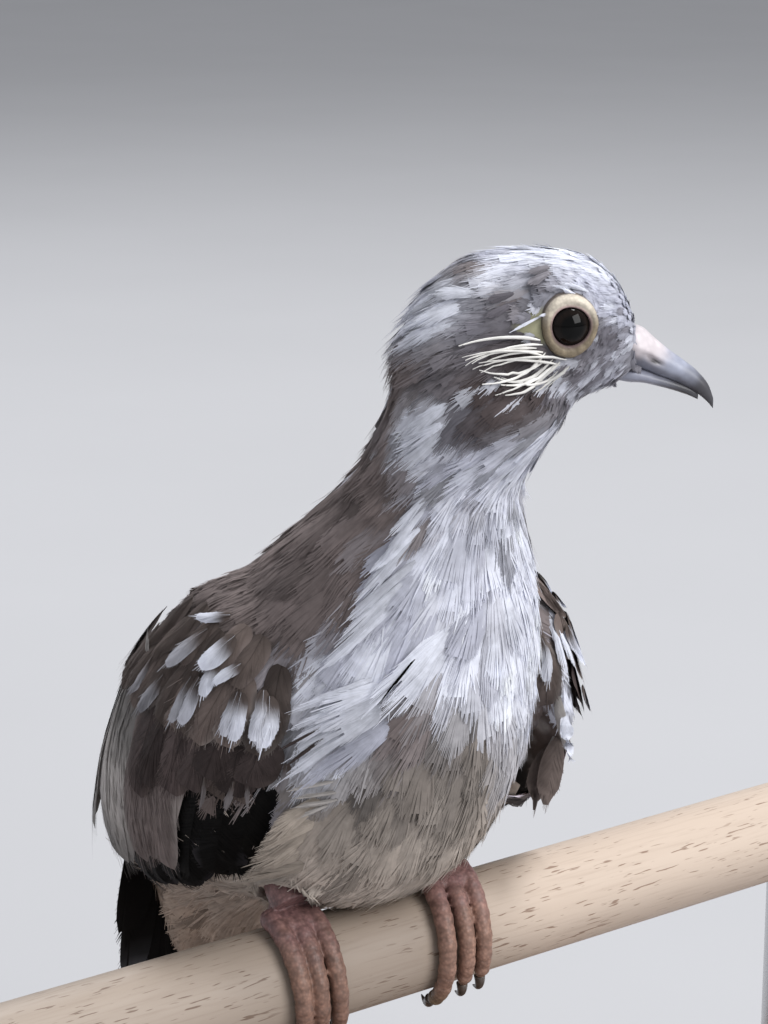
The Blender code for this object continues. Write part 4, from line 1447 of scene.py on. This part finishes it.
def make_tufts():
    """Loose feathers over the flank, the breast's edge, the left wing's front, the nape and the brows."""
    source = rand(settings().seed + 5)
    tufts = fan_feathers(source)
    _, _, widths, names, heights = zip(*tufts)
    widths, heights = np.array(widths), np.array(heights)
    s = even_steps(9)[:, None]
    spines, facings, maps = [], [], []
    for root, tip, _, _, height in tufts:
        root = 1.35 * root - 0.35 * tip if height else root
        line = between(root, tip, s)
        places, facing, index, _ = zip(*(Coat.tree.find_nearest(Vector(place)) for place in line))
        facing = np.array(facing)
        facing = unit(facing + 2.0 * facing.mean(0))
        if height:
            line = np.array(places) + facing * height * s**0.8
        line[0] = places[0]
        spines.append(relaxed(line))
        facings.append(facing)
        maps.append(nearest_map(index[0]))
    spine, facing = np.array(spines), np.array(facings)
    run = unit(np.gradient(spine, axis=1))
    across = unit(np.cross(facing, run))
    half = across * (widths / 2)[:, None, None]
    grid = np.stack([spine - half, spine, spine + half], 2)
    compact = heights == 0.0
    long = np.linalg.norm(spine[:, -1] - spine[:, 0], axis=1)
    firmness = {
        "reach": np.where(compact, 0.3, 0.75),
        "loose": np.where(compact, 0.15, 0.8),
        "web": np.where(compact, 0.95, 0.72),
    }
    feather = quill_values(len(widths), long, widths, base=0.0, lift=0.2, blunt=2.4, barb=0.15, **firmness)
    light = (0.68 + 0.25 * source.random(len(widths)))[:, None]
    feather["colour"] = np.array([tone(name) for name in names]) * light
    feather["tip"] = feather["edge"] = feather["rib"] = feather["colour"]
    feather["map"] = np.array(maps)
    normals = unit(np.cross(run, across))
    web = web_sheet(grid, normals, feather, rows=8, columns=5)
    sheets = [web, barb_sheet(source, grid, normals, feather, barbs=70, steps=5)]
    finish_piece(sheets_object("loose_feathers", sheets), contour_material(), "plumage")


# Pin feathers of one side, from under the eye back: the place (y, z in the head's frame) where each
# group's first and last strand start and end, how far their middles rise, and their number.
PIN_GROUPS = (
    (((2.6, -1.9), (10.4, -2.4)), ((0.9, -3.4), (9.4, -4.1)), 0.8, 9),
    (((2.0, -3.3), (9.6, -3.7)), ((1.0, -3.8), (7.6, -5.0)), -0.9, 7),
    (((0.6, -3.9), (4.4, -5.4)), ((-0.6, -3.9), (2.0, -5.2)), -0.3, 3),
)


def make_pin_feathers():
    """White sheathed filaments that sweep back from under each eye across the ear."""
    source = rand(settings().seed + 9)
    sheets = []
    steps = 14
    s = even_steps(steps)[:, None]
    for sign in (-1, 1):
        for first, last, rise, count in PIN_GROUPS:
            for t in even_steps(count):
                start, end = between(np.array(first), np.array(last), t)
                start = start + source.normal(0, 0.6, 2)
                end = end + source.normal(0, 1.1, 2)
                bow = np.array((0.0, 4.0 * rise * (0.7 + 0.6 * source.random())))
                path = between(start, end, s) + bow * s * (1 - s)
                path = path[: steps - source.integers(0, 4)]
                line, normals, index = [], [], 0
                for y, z in path:
                    found, normal, index, _ = Coat.tree.find_nearest(Vector(on_head((sign * 7.4, y, z))))
                    line.append(found)
                    normals.append(normal)
                line, normals = relaxed(np.array(line)), np.array(normals)
                run = even_steps(len(line))[:, None]
                line = line + normals * (0.45 + (0.35 + 0.3 * source.random()) * np.sin(np.pi * run**0.8))
                way = unit(np.gradient(line, axis=0))
                thick = (0.12 + 0.09 * source.random()) * (1.0 - 0.7 * run**2)
                thick = thick * np.minimum(1.0, 0.35 + 4 * run)
                side, up = unit(np.cross(normals, way)), normals
                shade = np.full((len(line), 1, 3), tone("sheath") * (0.65 + 0.45 * source.random()))
                spot = nearest_map(index) + rows_of(run[:, 0] * 0, (run[:, 0] - 0.5) * MAP_LENGTH)
                turns = np.linspace(0.0, 2.0 * math.pi, 6)
                ring = [side * math.cos(turn) - up * math.sin(turn) for turn in turns]
                tube = np.stack([line + facing * thick for facing in ring], 1)
                shades, spots = np.repeat(np.clip(shade, 0, 1), 6, 1), np.repeat(spot[:, None], 6, 1)
                sheets.append((tube, np.stack(ring, 1), shades, spots))
    finish_piece(sheets_object("pin_feathers", sheets), contour_material(), "plumage")


# ---- Bare parts ----

RING_POINTS = 96

# The eyelids and the bare ring, from the eyeball out: how far out from the eye's middle, the radius,
# and the share of the outer ring's colour.
RING_PROFILE = (
    (1.15, 1.90, 0.0), (1.52, 1.93, 0.0), (1.72, 2.00, 0.0), (1.80, 2.09, 0.2),
    (1.76, 2.18, 0.6), (1.86, 2.30, 1.0), (1.92, 2.46, 1.0), (1.84, 2.62, 1.0),
    (1.62, 2.76, 1.0), (1.34, 2.85, 0.9), (1.05, 2.92, 0.7), (0.55, 3.00, 0.5),
)


def make_eye(side, sign):
    bare = bpy.context.scene.dove_bare
    look, ahead, up = eye_axes(sign)
    centre = from_head(middle_of(f"eye_{side}"))
    radius = bare.eye_radius / MM
    rings = eye_rings(side, sign, (radius,) * 3, count=40, points=64, bulge=0.035)
    ball = face_outward(shape(f"eyeball_{side}", *loft(rings)))
    away = from_head(vertices_of(ball)) - centre
    from_pupil = np.arccos(np.clip(unit(away) @ look, -1, 1))
    iris = tone("iris") * (0.7 + 0.6 * cloud(away, 0.35, 3))[:, None]
    colours = blend(np.full(3, 0.0015), iris, soft(from_pupil, 0.46, 0.54))
    paint(ball, blend(colours, np.full(3, 0.003), soft(from_pupil, 0.72, 0.85)))
    shine = {"Specular_IOR_Level": 0.0, "Coat_Weight": 0.5, "Coat_IOR": 1.38, "Coat_Roughness": 0.03}
    wet = bare_material("wet_eye", scale=900.0, contrast=0.15, rough=(0.3, 0.4), bump=0.0, **shine)
    finish_piece(ball, wet, "eye", f"eye_{side}")

    rings, shares, tops = [], [], []
    angles = circle(RING_POINTS)
    for out, reach, share in RING_PROFILE:
        tall = 1.0 + 0.13 * soft(reach, 2.0, 2.8)
        level = rows_of(np.cos(angles) * reach, np.sin(angles) * reach, angles * 0 + out)
        grain = cloud(level, 0.22, 6)
        fold = np.sin(angles * 9.0 + reach * 5.0) * 0.02
        rough = (0.12 * (grain - 0.5) + fold) * soft(reach, 2.1, 2.4)
        wave = 1.0 + 0.02 * np.sin(3 * angles + 1.0)
        across = np.cos(angles)[:, None] * ahead + np.sin(angles)[:, None] * up * tall
        ring = centre + look * (out + rough)[:, None] + across * (reach * wave + rough * 0.5)[:, None]
        rings.append(on_head(ring))
        shares += [share] * RING_POINTS
        tops += list(soft(np.sin(angles), -0.2, 0.9))
    lids = face_outward(shape(f"eyelids_{side}", *loft(rings, closed_ends=False)))
    shares, tops = np.array(shares), np.array(tops)
    # Painted shade: the lids and the ring are painted darker and browner towards their bottoms.
    rim = tone("lid") * (0.35 + 0.65 * tops)[:, None]
    shaded = blend(tone("ring") * (0.36, 0.32, 0.26), tone("ring"), tops)
    colours = blend(rim, shaded, shares)
    colours = colours * (0.78 + 0.4 * cloud(vertices_of(lids), 0.45, 8))[:, None]
    # Painted shade: the outer rows, in the crease where the ring meets the feathers, are painted darker
    # still.
    outer = np.arange(len(shares)) >= 10 * RING_POINTS
    paint(lids, blend(colours, colours * 0.3, outer))
    ring_skin = bare_material(
        "eyelid_skin", scale=3200.0, contrast=0.10, rough=(0.42, 0.58), bump=0.3, Specular_IOR_Level=0.4
    )
    finish_piece(lids, ring_skin, "eye_ring", f"eye_ring_{side}")


# Bill sections, root to tip: how far in front of the eyes, the top, the bottom and the half width.
BILL_UPPER = (
    (5.4, -1.6, -4.9, 2.0),
    (6.8, -1.2, -5.1, 2.5),
    (8.1, -1.4, -5.4, 2.4),
    (9.5, -2.5, -6.0, 2.0),
    (10.9, -3.6, -6.5, 1.6),
    (12.3, -4.6, -7.1, 1.25),
    (13.7, -5.7, -7.9, 0.95),
    (14.9, -7.1, -8.9, 0.6),
    (15.5, -8.6, -9.6, 0.22),
)
BILL_LOWER = (
    (5.0, -4.9, -6.5, 1.7),
    (6.6, -5.0, -6.8, 2.0),
    (8.1, -5.3, -6.9, 1.85),
    (9.6, -5.9, -7.25, 1.5),
    (11.2, -6.5, -7.7, 1.15),
    (12.8, -7.2, -8.25, 0.75),
    (13.9, -7.9, -8.75, 0.35),
)


BILL_RINGS = 60
BILL_POINTS = 48


def make_bill():
    for name, rows, upper in (("upper", BILL_UPPER, True), ("lower", BILL_LOWER, False)):
        rings = []
        for ahead, top, bottom, half in curve_rows(rows, BILL_RINGS):
            angles = circle(BILL_POINTS)
            height = (top + bottom) / 2 + (top - bottom) / 2 * np.cos(angles)
            aside = half * np.sign(np.sin(angles)) * np.abs(np.sin(angles)) ** (0.85 if upper else 0.8)
            if upper:
                swell = math.exp(-(((ahead - 7.4) / 1.5) ** 2)) * 0.32
                flank = np.abs(np.sin(angles)) * soft(np.cos(angles), -0.6, 0.3)
                aside = aside * (1.0 + swell * flank)
                height = height + swell * 0.6 * soft(np.cos(angles), 0.3, 1.0)
                slit = np.exp(-(((ahead - 9.0) / 0.95) ** 2))
                slit = slit * np.exp(-(((np.cos(angles) + 0.12) / 0.17) ** 2))
                aside = aside * (1.0 - 0.30 * slit)
                edge = soft(np.cos(angles), -0.55, -0.95)
                height = height - 0.12 * edge
            rings.append(on_head(rows_of(aside, np.full(BILL_POINTS, -ahead), height)))
        half_bill = face_outward(shape(f"bill_half_{name}", *loft(rings)))
        local = from_head(vertices_of(half_bill))
        ahead, height = -local[:, 1], local[:, 2]
        wobble = 0.8 * (cloud(local, 0.9, 4) - 0.5)
        top_line = np.interp(ahead, *zip(*[(row[0], row[1]) for row in BILL_UPPER]))
        depth = top_line - height
        if upper:
            reach = ahead + wobble + 0.5 * depth
            colours = blend(tone("bill_root"), tone("bill_middle"), soft(reach, 9.6, 11.6))
            slate = soft(depth + wobble * 0.4, 1.9 - 0.10 * (ahead - 8.0), 3.0 - 0.16 * (ahead - 8.0))
            colours = blend(colours, tone("bill_slate"), slate)
            colours = blend(colours, tone("bill_tip"), soft(reach, 11.9, 15.0))
            # Painted shade: the nostril is painted nearly black, for the shade in the slit's opening.
            across = (height + 4.45 + 0.3 * (ahead - 9.3)) / 0.2
            nostril = np.exp(-(((ahead - 9.3) / 0.6) ** 2) - across**2)
            colours = blend(colours, np.full(3, 0.01), np.clip(1.2 * nostril, 0, 0.85))
        else:
            colours = blend(tone("bill_slate") * 1.5, tone("bill_tip"), soft(ahead + wobble, 8.0, 12.5))
        paint(half_bill, colours)
        horn = bare_material(
            "bill_horn", scale=1400.0, contrast=0.07, rough=(0.3, 0.42), bump=0.10, Specular_IOR_Level=0.5
        )
        finish_piece(half_bill, horn, "bill", f"bill_{name}")


# Each toe: where along the perch it starts and ends, and the angle round the perch that it ends at.
TOE_TABLE = {
    "right": {
        "outer": (-14.0, -11.9, 148.0),
        "middle": (-11.6, -9.6, 158.0),
        "inner": (-9.2, -7.2, 143.0),
        "hind": (-11.0, -10.6, -96.0),
    },
    "left": {
        "outer": (12.3, 12.3, 122.0),
        "middle": (9.8, 9.9, 126.0),
        "inner": (7.3, 6.9, 157.0),
        "hind": (9.6, 9.0, -96.0),
    },
}
PERCH_RADIUS = 6.0
GRIP = 6.3
TOE_LEAN = -1.7
TOE_RINGS = 90
SHANK_RINGS = 30
PALM_RINGS = 22
CLAW_RINGS = 22
FOOT_POINTS = 20
CLAW_POINTS = 16
SHANK_LINE = ((7.5, 17.0, 1.5), (3.5, 13.0, 1.7), (0.8, 10.4, 2.0), (-0.8, 8.9, 2.1))


def tube_rings(path, radii, points, flat=1.0):
    """Rings square to a path, one at each of its points."""
    path = np.asarray(path, float)
    run = unit(np.gradient(path, axis=0))
    aside = unit(np.cross(run, (1.0, 0.0, 0.0)))
    other = np.cross(run, aside)
    angles = circle(points)[:, None]
    return [
        place + radius * (np.cos(angles) * a * flat + np.sin(angles) * b)
        for place, radius, a, b in zip(path, radii, aside, other)
    ]


def toe_path(side, name, count):
    start_x, end_x, end_angle = TOE_TABLE[side][name]
    start_angle = -20.0 if name == "hind" else -8.0
    turns = np.radians(np.linspace(start_angle, end_angle, count))
    along = even_steps(count)
    radii = 1.2 * (1.0 - 0.3 * along)
    x = start_x + (end_x - start_x) * along + TOE_LEAN * np.sin(turns)
    reach = GRIP + radii
    path = rows_of(x, -reach * np.sin(turns), reach * np.cos(turns))
    return path, radii, turns, along


def make_foot(side):
    """Shank, palm and toes as one scaly skin, and the claws."""
    places, faces = [], []

    def add(rings):
        more, sides = loft(rings)
        start = len(places)
        places.extend(more)
        faces.extend([[start + index for index in face] for face in sides])

    for name in TOES:
        path, radii, _, along = toe_path(side, name, TOE_RINGS)
        done = np.arange(TOE_RINGS) / TOE_RINGS
        step = done * 15.0 % 1.0
        scute = 0.10 * (1.0 - (2.0 * step - 1.0) ** 4) - 0.05
        pad = 0.07 * np.sin(done * 2 * math.pi * 3.5) ** 2
        end = np.clip((1.0 - along) * 12.0, 0.0, 1.0) ** 0.5
        start = np.clip(0.6 + along * 8.0, 0.0, 1.0)
        add(tube_rings(path, (radii * 0.97 + scute + pad) * end * start + 0.02, FOOT_POINTS))
    hub_x = TOE_TABLE[side]["middle"][0]
    rows = curve_rows(SHANK_LINE, SHANK_RINGS)
    step = np.arange(SHANK_RINGS) / SHANK_RINGS * 7.0 % 1.0
    scute = 0.09 * (1.0 - (2.0 * step - 1.0) ** 4)
    add(tube_rings([(hub_x, y, z) for y, z, _ in rows], rows[:, 2] + scute, FOOT_POINTS))
    palm = []
    for t in np.linspace(-1.0, 1.0, PALM_RINGS):
        x = hub_x + 3.4 * t
        size = math.sqrt(max(1.0 - t * t, 0.0)) + 0.02
        angles = circle(FOOT_POINTS)
        y = -1.2 + 2.6 * size * np.cos(angles)
        z = 7.55 + 0.95 * size * np.sin(angles) - 0.07 * (y + 1.0) ** 2
        palm.append(rows_of(np.full(FOOT_POINTS, x), y, z))
    add(palm)

    foot = shape(f"foot_{side}", places, faces)
    melted(foot, grain=0.16, rounds=3)
    points = vertices_of(foot)
    turned = np.degrees(np.arctan2(-points[:, 1], points[:, 2]))
    share = soft(turned + 30.0 * (cloud(points, 1.2, 3) - 0.5), 5.0, 75.0)
    colours = blend(tone("foot"), tone("toe"), share)
    colours = blend(colours, colours * (0.75, 0.95, 0.8), soft(turned, 110.0, 150.0))
    # Painted shade: the skin is painted darker where the toes press against the perch.
    from_perch_axis = np.hypot(points[:, 1], points[:, 2])
    colours = colours * (0.55 + 0.45 * soft(from_perch_axis, GRIP + 0.1, GRIP + 1.1))[:, None]
    # Painted shade: the right foot is painted darker than the left; the mottling over both is random.
    colours = colours * ((0.5 if side == "right" else 0.6) + 0.5 * cloud(points, 0.35, 5))[:, None]
    paint(foot, colours)
    scaly = bare_material(
        "foot_skin", scale=2600.0, contrast=0.16, rough=(0.42, 0.6), bump=0.45, Specular_IOR_Level=0.5
    )
    nodes = [f"toe_{side}_{name}" for name in TOES] + [f"shank_{side}"]
    finish_piece(foot, scaly, "foot", *nodes)

    horn = bare_material(
        "claw_horn", scale=1800.0, contrast=0.2, rough=(0.22, 0.35), bump=0.08, Specular_IOR_Level=0.55
    )
    for name in TOES:
        _, radii, turns, _ = toe_path(side, name, 40)
        end_x, end_angle = TOE_TABLE[side][name][1:]
        along = even_steps(CLAW_RINGS)
        tip_height = GRIP + radii[-1]
        turn = turns[-1] + math.copysign(2.6 / tip_height, end_angle) * (along - 0.06)
        size = 0.62 * (1.0 - 0.88 * along**1.5)
        height = tip_height + 0.55 * np.sin(math.pi * along)
        x = end_x + TOE_LEAN * np.sin(turn)
        path = rows_of(x, -height * np.sin(turn), height * np.cos(turn))
        claw = face_outward(shape(f"nail_{side}_{name}", *loft(tube_rings(path, size, CLAW_POINTS, 1.15))))
        grey = blend(tone("claw") * 1.5, tone("claw") * 0.6, np.repeat(along, CLAW_POINTS))
        grey = np.vstack([grey, grey[:1], grey[-1:]])
        paint(claw, grey * (0.8 + 0.4 * cloud(vertices_of(claw), 0.5, 2))[:, None])
        finish_piece(claw, horn, "claw", f"claw_{side}_{name}")


# ---- Perch, stand and stage ----


def bevelled(name, outline_rows, levels):
    """A piece with an outline of corners and ways out, grown through levels of height and inset."""
    rings = [[(x - inset * ox, y - inset * oy, z) for x, y, ox, oy in outline_rows] for z, inset in levels]
    return face_outward(shape(name, *loft(rings)))


PERCH_POINTS = 72
ROD_POINTS = 48


def make_perch():
    stand = bpy.context.scene.dove_stand
    low, high = corners_of("perch")
    radius = (high[2] - low[2]) / 2
    reach = [(0.0, 0.75), (0.12, 0.6), (0.35, 0.28), (0.7, 0.07), (1.2, 0.0)]
    body = [(t, 0.0) for t in np.linspace(3.0, high[0] - low[0] - 3.0, 90)]
    profile = reach + body + [(high[0] - low[0] - x, inset) for x, inset in reversed(reach)]
    angles = circle(PERCH_POINTS)
    rings = []
    for x, inset in profile:
        wide = radius - inset
        ring = (np.full(PERCH_POINTS, low[0] + x), wide * np.sin(angles), wide * np.cos(angles))
        rings.append(np.stack(ring, -1))
    perch = crisp(face_outward(shape("dowel", *loft(rings))))
    values = {"Light": tuple(stand.beech), "Dark": tuple(stand.beech_fleck), "Band Strength": 0.16}
    # The beech is painted darker towards the perch's low-X end: painted shadow of the dove.
    values |= {"Fleck Strength": 0.85, "Painted Shadow": 0.62, "Roughness Low": 0.42, "Roughness High": 0.58}
    wood = material_from("beech", wood_group(), values, bump=0.25, bump_reach=0.0002, Specular_IOR_Level=0.4)
    finish_piece(perch, wood, "perch_wood", "perch")


def make_stand():
    stand = bpy.context.scene.dove_stand
    low, high = corners_of("stand_base")
    corner, rows, edge = 9.0, [], 1.5
    middle_x, middle_y = (low[0] + high[0]) / 2, (low[1] + high[1]) / 2
    for x_sign, y_sign, start in ((1, 1, 0.0), (-1, 1, 90.0), (-1, -1, 180.0), (1, -1, 270.0)):
        x = middle_x + x_sign * ((high[0] - low[0]) / 2 - corner)
        y = middle_y + y_sign * ((high[1] - low[1]) / 2 - corner)
        for turn in np.radians(np.linspace(start, start + 90.0, 14)):
            out_x, out_y = math.cos(turn), math.sin(turn)
            rows.append((x + corner * out_x, y + corner * out_y, out_x, out_y))
    top = high[2]
    quarter = np.linspace(0, math.pi / 2, 7)
    bevel = [(top - edge + edge * math.sin(a), edge - edge * math.cos(a)) for a in quarter]
    levels = [(low[2], 0.5), (low[2] + 0.2, 0.15), (low[2] + 0.6, 0.0), *bevel, (top, 6.0)]
    base = crisp(bevelled("stand_board", rows, levels))
    values = {"Light": tuple(stand.walnut), "Dark": tuple(stand.walnut_dark), "Band Strength": 0.7}
    values |= {"Fleck Strength": 0.3, "Roughness Low": 0.28, "Roughness High": 0.42}
    wood = material_from("walnut", wood_group(), values, bump=0.12, bump_reach=0.0002, Coat_Weight=0.15)
    finish_piece(base, wood, "stand_wood", "stand_base")

    for side, _ in SIDES:
        low, high = corners_of(f"stand_rod_{side}")
        x, y, radius = (low[0] + high[0]) / 2, (low[1] + high[1]) / 2, (high[0] - low[0]) / 2
        rings = []
        angles = circle(ROD_POINTS)
        for z in (low[2], low[2] + 0.4, low[2] + 0.5, *np.linspace(low[2] + 2, high[2] - 2, 20), high[2]):
            foot_in = 0.25 if z == low[2] else 0.0
            ring_x = x + (radius - foot_in) * np.cos(angles)
            saddle = np.sqrt(np.maximum((PERCH_RADIUS + 0.3) ** 2 - (y + radius * np.sin(angles)) ** 2, 0.0))
            ring_z = -saddle if z == high[2] else np.full(ROD_POINTS, z)
            rings.append(rows_of(ring_x, y + (radius - foot_in) * np.sin(angles), ring_z))
        rod = crisp(face_outward(shape(f"stand_post_{side}", *loft(rings))))
        paint(rod, np.tile(np.array(stand.steel), (len(rod.data.vertices), 1)))
        satin = bare_material(
            "satin_steel", scale=5200.0, contrast=0.05, rough=(0.24, 0.34), bump=0.05, Metallic=1.0
        )
        finish_piece(rod, satin, "stand_metal", f"stand_rod_{side}")


def area_light(name, place, aim, size, power, hue):
    """A square light at a place in millimetres from the dove's middle."""
    lamp = bpy.data.lights.new(name, "AREA")
    lamp.shape = "RECTANGLE"
    lamp.size = lamp.size_y = size
    lamp.energy, lamp.color = power, hue
    obj, place = placed(name, lamp), Vector(world(place))
    obj.location = place
    obj.rotation_euler = (aim - place).to_track_quat("-Z", "Y").to_euler()


# The floor's half width in metres, and the place that the camera and the lights point at.
FLOOR_REACH = 6
LOOK_AT = (8.762, 9.721, 48.573)


def make_stage():
    stage, stand = bpy.context.scene.dove_stage, bpy.context.scene.dove_stand
    mesh = bpy.data.meshes.new("studio_floor")
    corners = [(x * FLOOR_REACH, y * FLOOR_REACH, 0) for x, y in ((-1, -1), (1, -1), (1, 1), (-1, 1))]
    mesh.from_pydata(corners, [], [(0, 1, 2, 3)])
    floor = placed("studio_floor", mesh)
    matt = bpy.data.materials.new("studio_floor")
    matt.use_nodes = True
    tree = matt.node_tree
    shader = tree.nodes["Principled BSDF"]
    shader.inputs["Roughness"].default_value = 0.9
    shader.inputs["Specular IOR Level"].default_value = 0.1
    place = tree.nodes.new("ShaderNodeTexCoord").outputs["Object"]
    grain = noise_node(tree, place, 9.0, 4.0)
    darker, paler = (tuple(share * c for c in tuple(stand.floor)) for share in (0.97, 1.03))
    tree.links.new(mix_colours(tree, grain, darker, paler), shader.inputs["Base Color"])
    mesh.materials.append(matt)

    scene = bpy.context.scene
    sky = bpy.data.worlds.new("studio")
    sky.use_nodes = True
    background = sky.node_tree.nodes["Background"]
    background.inputs["Color"].default_value = (0.93, 0.95, 1.0, 1.0)
    background.inputs["Strength"].default_value = stage.sky
    scene.world = sky
    scene.view_settings.view_transform = "Standard"

    azimuth, elevation = math.radians(stage.azimuth), math.radians(stage.elevation)
    level = math.cos(elevation)
    back = Vector((math.sin(azimuth) * level, -math.cos(azimuth) * level, math.sin(elevation)))
    aim = Vector(world(LOOK_AT))
    camera = placed("camera", bpy.data.cameras.new("camera"))
    camera.data.sensor_width = 36.0
    camera.data.lens = stage.lens
    camera.data.clip_start = 0.01
    camera.location = aim + back * stage.distance
    camera.rotation_mode = "QUATERNION"
    camera.rotation_quaternion = (-back).to_track_quat("-Z", "Y")
    scene.camera = camera

    overhead, window, front = (380.0, -330.0, 1400.0), (278.0, 790.0, 853.0), (320.0, -1200.0, 800.0)
    area_light("overhead", overhead, aim, 0.3, stage.key_power, (0.98, 0.99, 1.0))
    area_light("window", window, aim, 0.2, stage.window_power, (0.97, 0.98, 1.0))
    area_light("front_fill", front, aim, 0.9, stage.fill_power, (1.0, 1.0, 1.0))


# ---- The add-on ----


def need_skin():
    if Coat.tree is None:
        raise RuntimeError("build the skin first")


class MESH_OT_dove_skin(bpy.types.Operator):
    """Build the skin that runs without a seam from the head to the tail"""

    bl_idname = "mesh.dove_skin"
    bl_label = "Skin"

    def execute(self, context):
        make_skin()
        return {"FINISHED"}


class MESH_OT_dove_coat(bpy.types.Operator):
    """Lay the small feathers of the head, neck, body and wing arms over the skin"""

    bl_idname = "mesh.dove_coat"
    bl_label = "Small Feathers"

    def execute(self, context):
        need_skin()
        make_coat()
        return {"FINISHED"}


class MESH_OT_dove_quills(bpy.types.Operator):
    """Lay the long feathers of both wings and of the tail"""

    bl_idname = "mesh.dove_quills"
    bl_label = "Wing and Tail Quills"

    def execute(self, context):
        need_skin()
        for side, sign in SIDES:
            make_wing_quills(side, sign)
        make_tail()
        return {"FINISHED"}


class MESH_OT_dove_pin_feathers(bpy.types.Operator):
    """Sweep white pin feathers back from under the eyes"""

    bl_idname = "mesh.dove_pin_feathers"
    bl_label = "Pin Feathers"

    def execute(self, context):
        need_skin()
        make_pin_feathers()
        return {"FINISHED"}


class MESH_OT_dove_tufts(bpy.types.Operator):
    """Make the single loose feathers that stand out of the coat"""

    bl_idname = "mesh.dove_tufts"
    bl_label = "Loose Feathers"

    def execute(self, context):
        need_skin()
        make_tufts()
        return {"FINISHED"}


class MESH_OT_dove_eyes(bpy.types.Operator):
    """Build the eyes and their bare lids"""

    bl_idname = "mesh.dove_eyes"
    bl_label = "Eyes"

    def execute(self, context):
        for side, sign in SIDES:
            make_eye(side, sign)
        return {"FINISHED"}


class MESH_OT_dove_bill(bpy.types.Operator):
    """Build the two halves of the bill"""

    bl_idname = "mesh.dove_bill"
    bl_label = "Bill"

    def execute(self, context):
        make_bill()
        return {"FINISHED"}


class MESH_OT_dove_feet(bpy.types.Operator):
    """Build the scaly feet and their claws"""

    bl_idname = "mesh.dove_feet"
    bl_label = "Feet and Claws"

    def execute(self, context):
        for side, _ in SIDES:
            make_foot(side)
        return {"FINISHED"}


class MESH_OT_dove_perch(bpy.types.Operator):
    """Build the dowel perch"""

    bl_idname = "mesh.dove_perch"
    bl_label = "Perch"

    def execute(self, context):
        make_perch()
        return {"FINISHED"}


class MESH_OT_dove_stand(bpy.types.Operator):
    """Build the display base and its two rods"""

    bl_idname = "mesh.dove_stand"
    bl_label = "Stand"

    def execute(self, context):
        make_stand()
        return {"FINISHED"}


class MESH_OT_dove_stage(bpy.types.Operator):
    """Set out the floor, the lights and the camera"""

    bl_idname = "mesh.dove_stage"
    bl_label = "Stage"

    def execute(self, context):
        make_stage()
        return {"FINISHED"}


OPERATORS = (
    MESH_OT_dove_skin,
    MESH_OT_dove_coat,
    MESH_OT_dove_quills,
    MESH_OT_dove_tufts,
    MESH_OT_dove_pin_feathers,
    MESH_OT_dove_eyes,
    MESH_OT_dove_bill,
    MESH_OT_dove_feet,
    MESH_OT_dove_perch,
    MESH_OT_dove_stand,
    MESH_OT_dove_stage,
)


class VIEW3D_PT_dove(bpy.types.Panel):
    """Lists the dove's pieces and settings"""

    bl_label = "Diamond Dove"
    bl_idname = "VIEW3D_PT_dove"
    bl_space_type = "VIEW_3D"
    bl_region_type = "UI"
    bl_category = "Dove"

    def draw(self, context):
        for operator in OPERATORS:
            self.layout.operator(operator.bl_idname)
        for group in SETTINGS:
            box = self.layout.box()
            values = getattr(context.scene, group)
            for label in values.bl_rna.properties.keys():
                if label not in ("rna_type", "name"):
                    box.prop(values, label)


SETTINGS = {
    "dove_plumage": DovePlumageSettings,
    "dove_bare": DoveBareSettings,
    "dove_stand": DoveStandSettings,
    "dove_stage": DoveStageSettings,
}
CLASSES = (*SETTINGS.values(), *OPERATORS, VIEW3D_PT_dove)


def register():
    for cls in CLASSES:
        bpy.utils.register_class(cls)
    for name, group in SETTINGS.items():
        setattr(bpy.types.Scene, name, PointerProperty(type=group))


def unregister():
    for name in SETTINGS:
        delattr(bpy.types.Scene, name)
    for cls in reversed(CLASSES):
        bpy.utils.unregister_class(cls)


def main():
    register()
    bpy.ops.mesh.dove_skin()
    bpy.ops.mesh.dove_coat()
    bpy.ops.mesh.dove_quills()
    bpy.ops.mesh.dove_tufts()
    bpy.ops.mesh.dove_pin_feathers()
    bpy.ops.mesh.dove_eyes()
    bpy.ops.mesh.dove_bill()
    bpy.ops.mesh.dove_feet()
    bpy.ops.mesh.dove_perch()
    bpy.ops.mesh.dove_stand()
    bpy.ops.mesh.dove_stage()


if __name__ == "__main__":
    main()
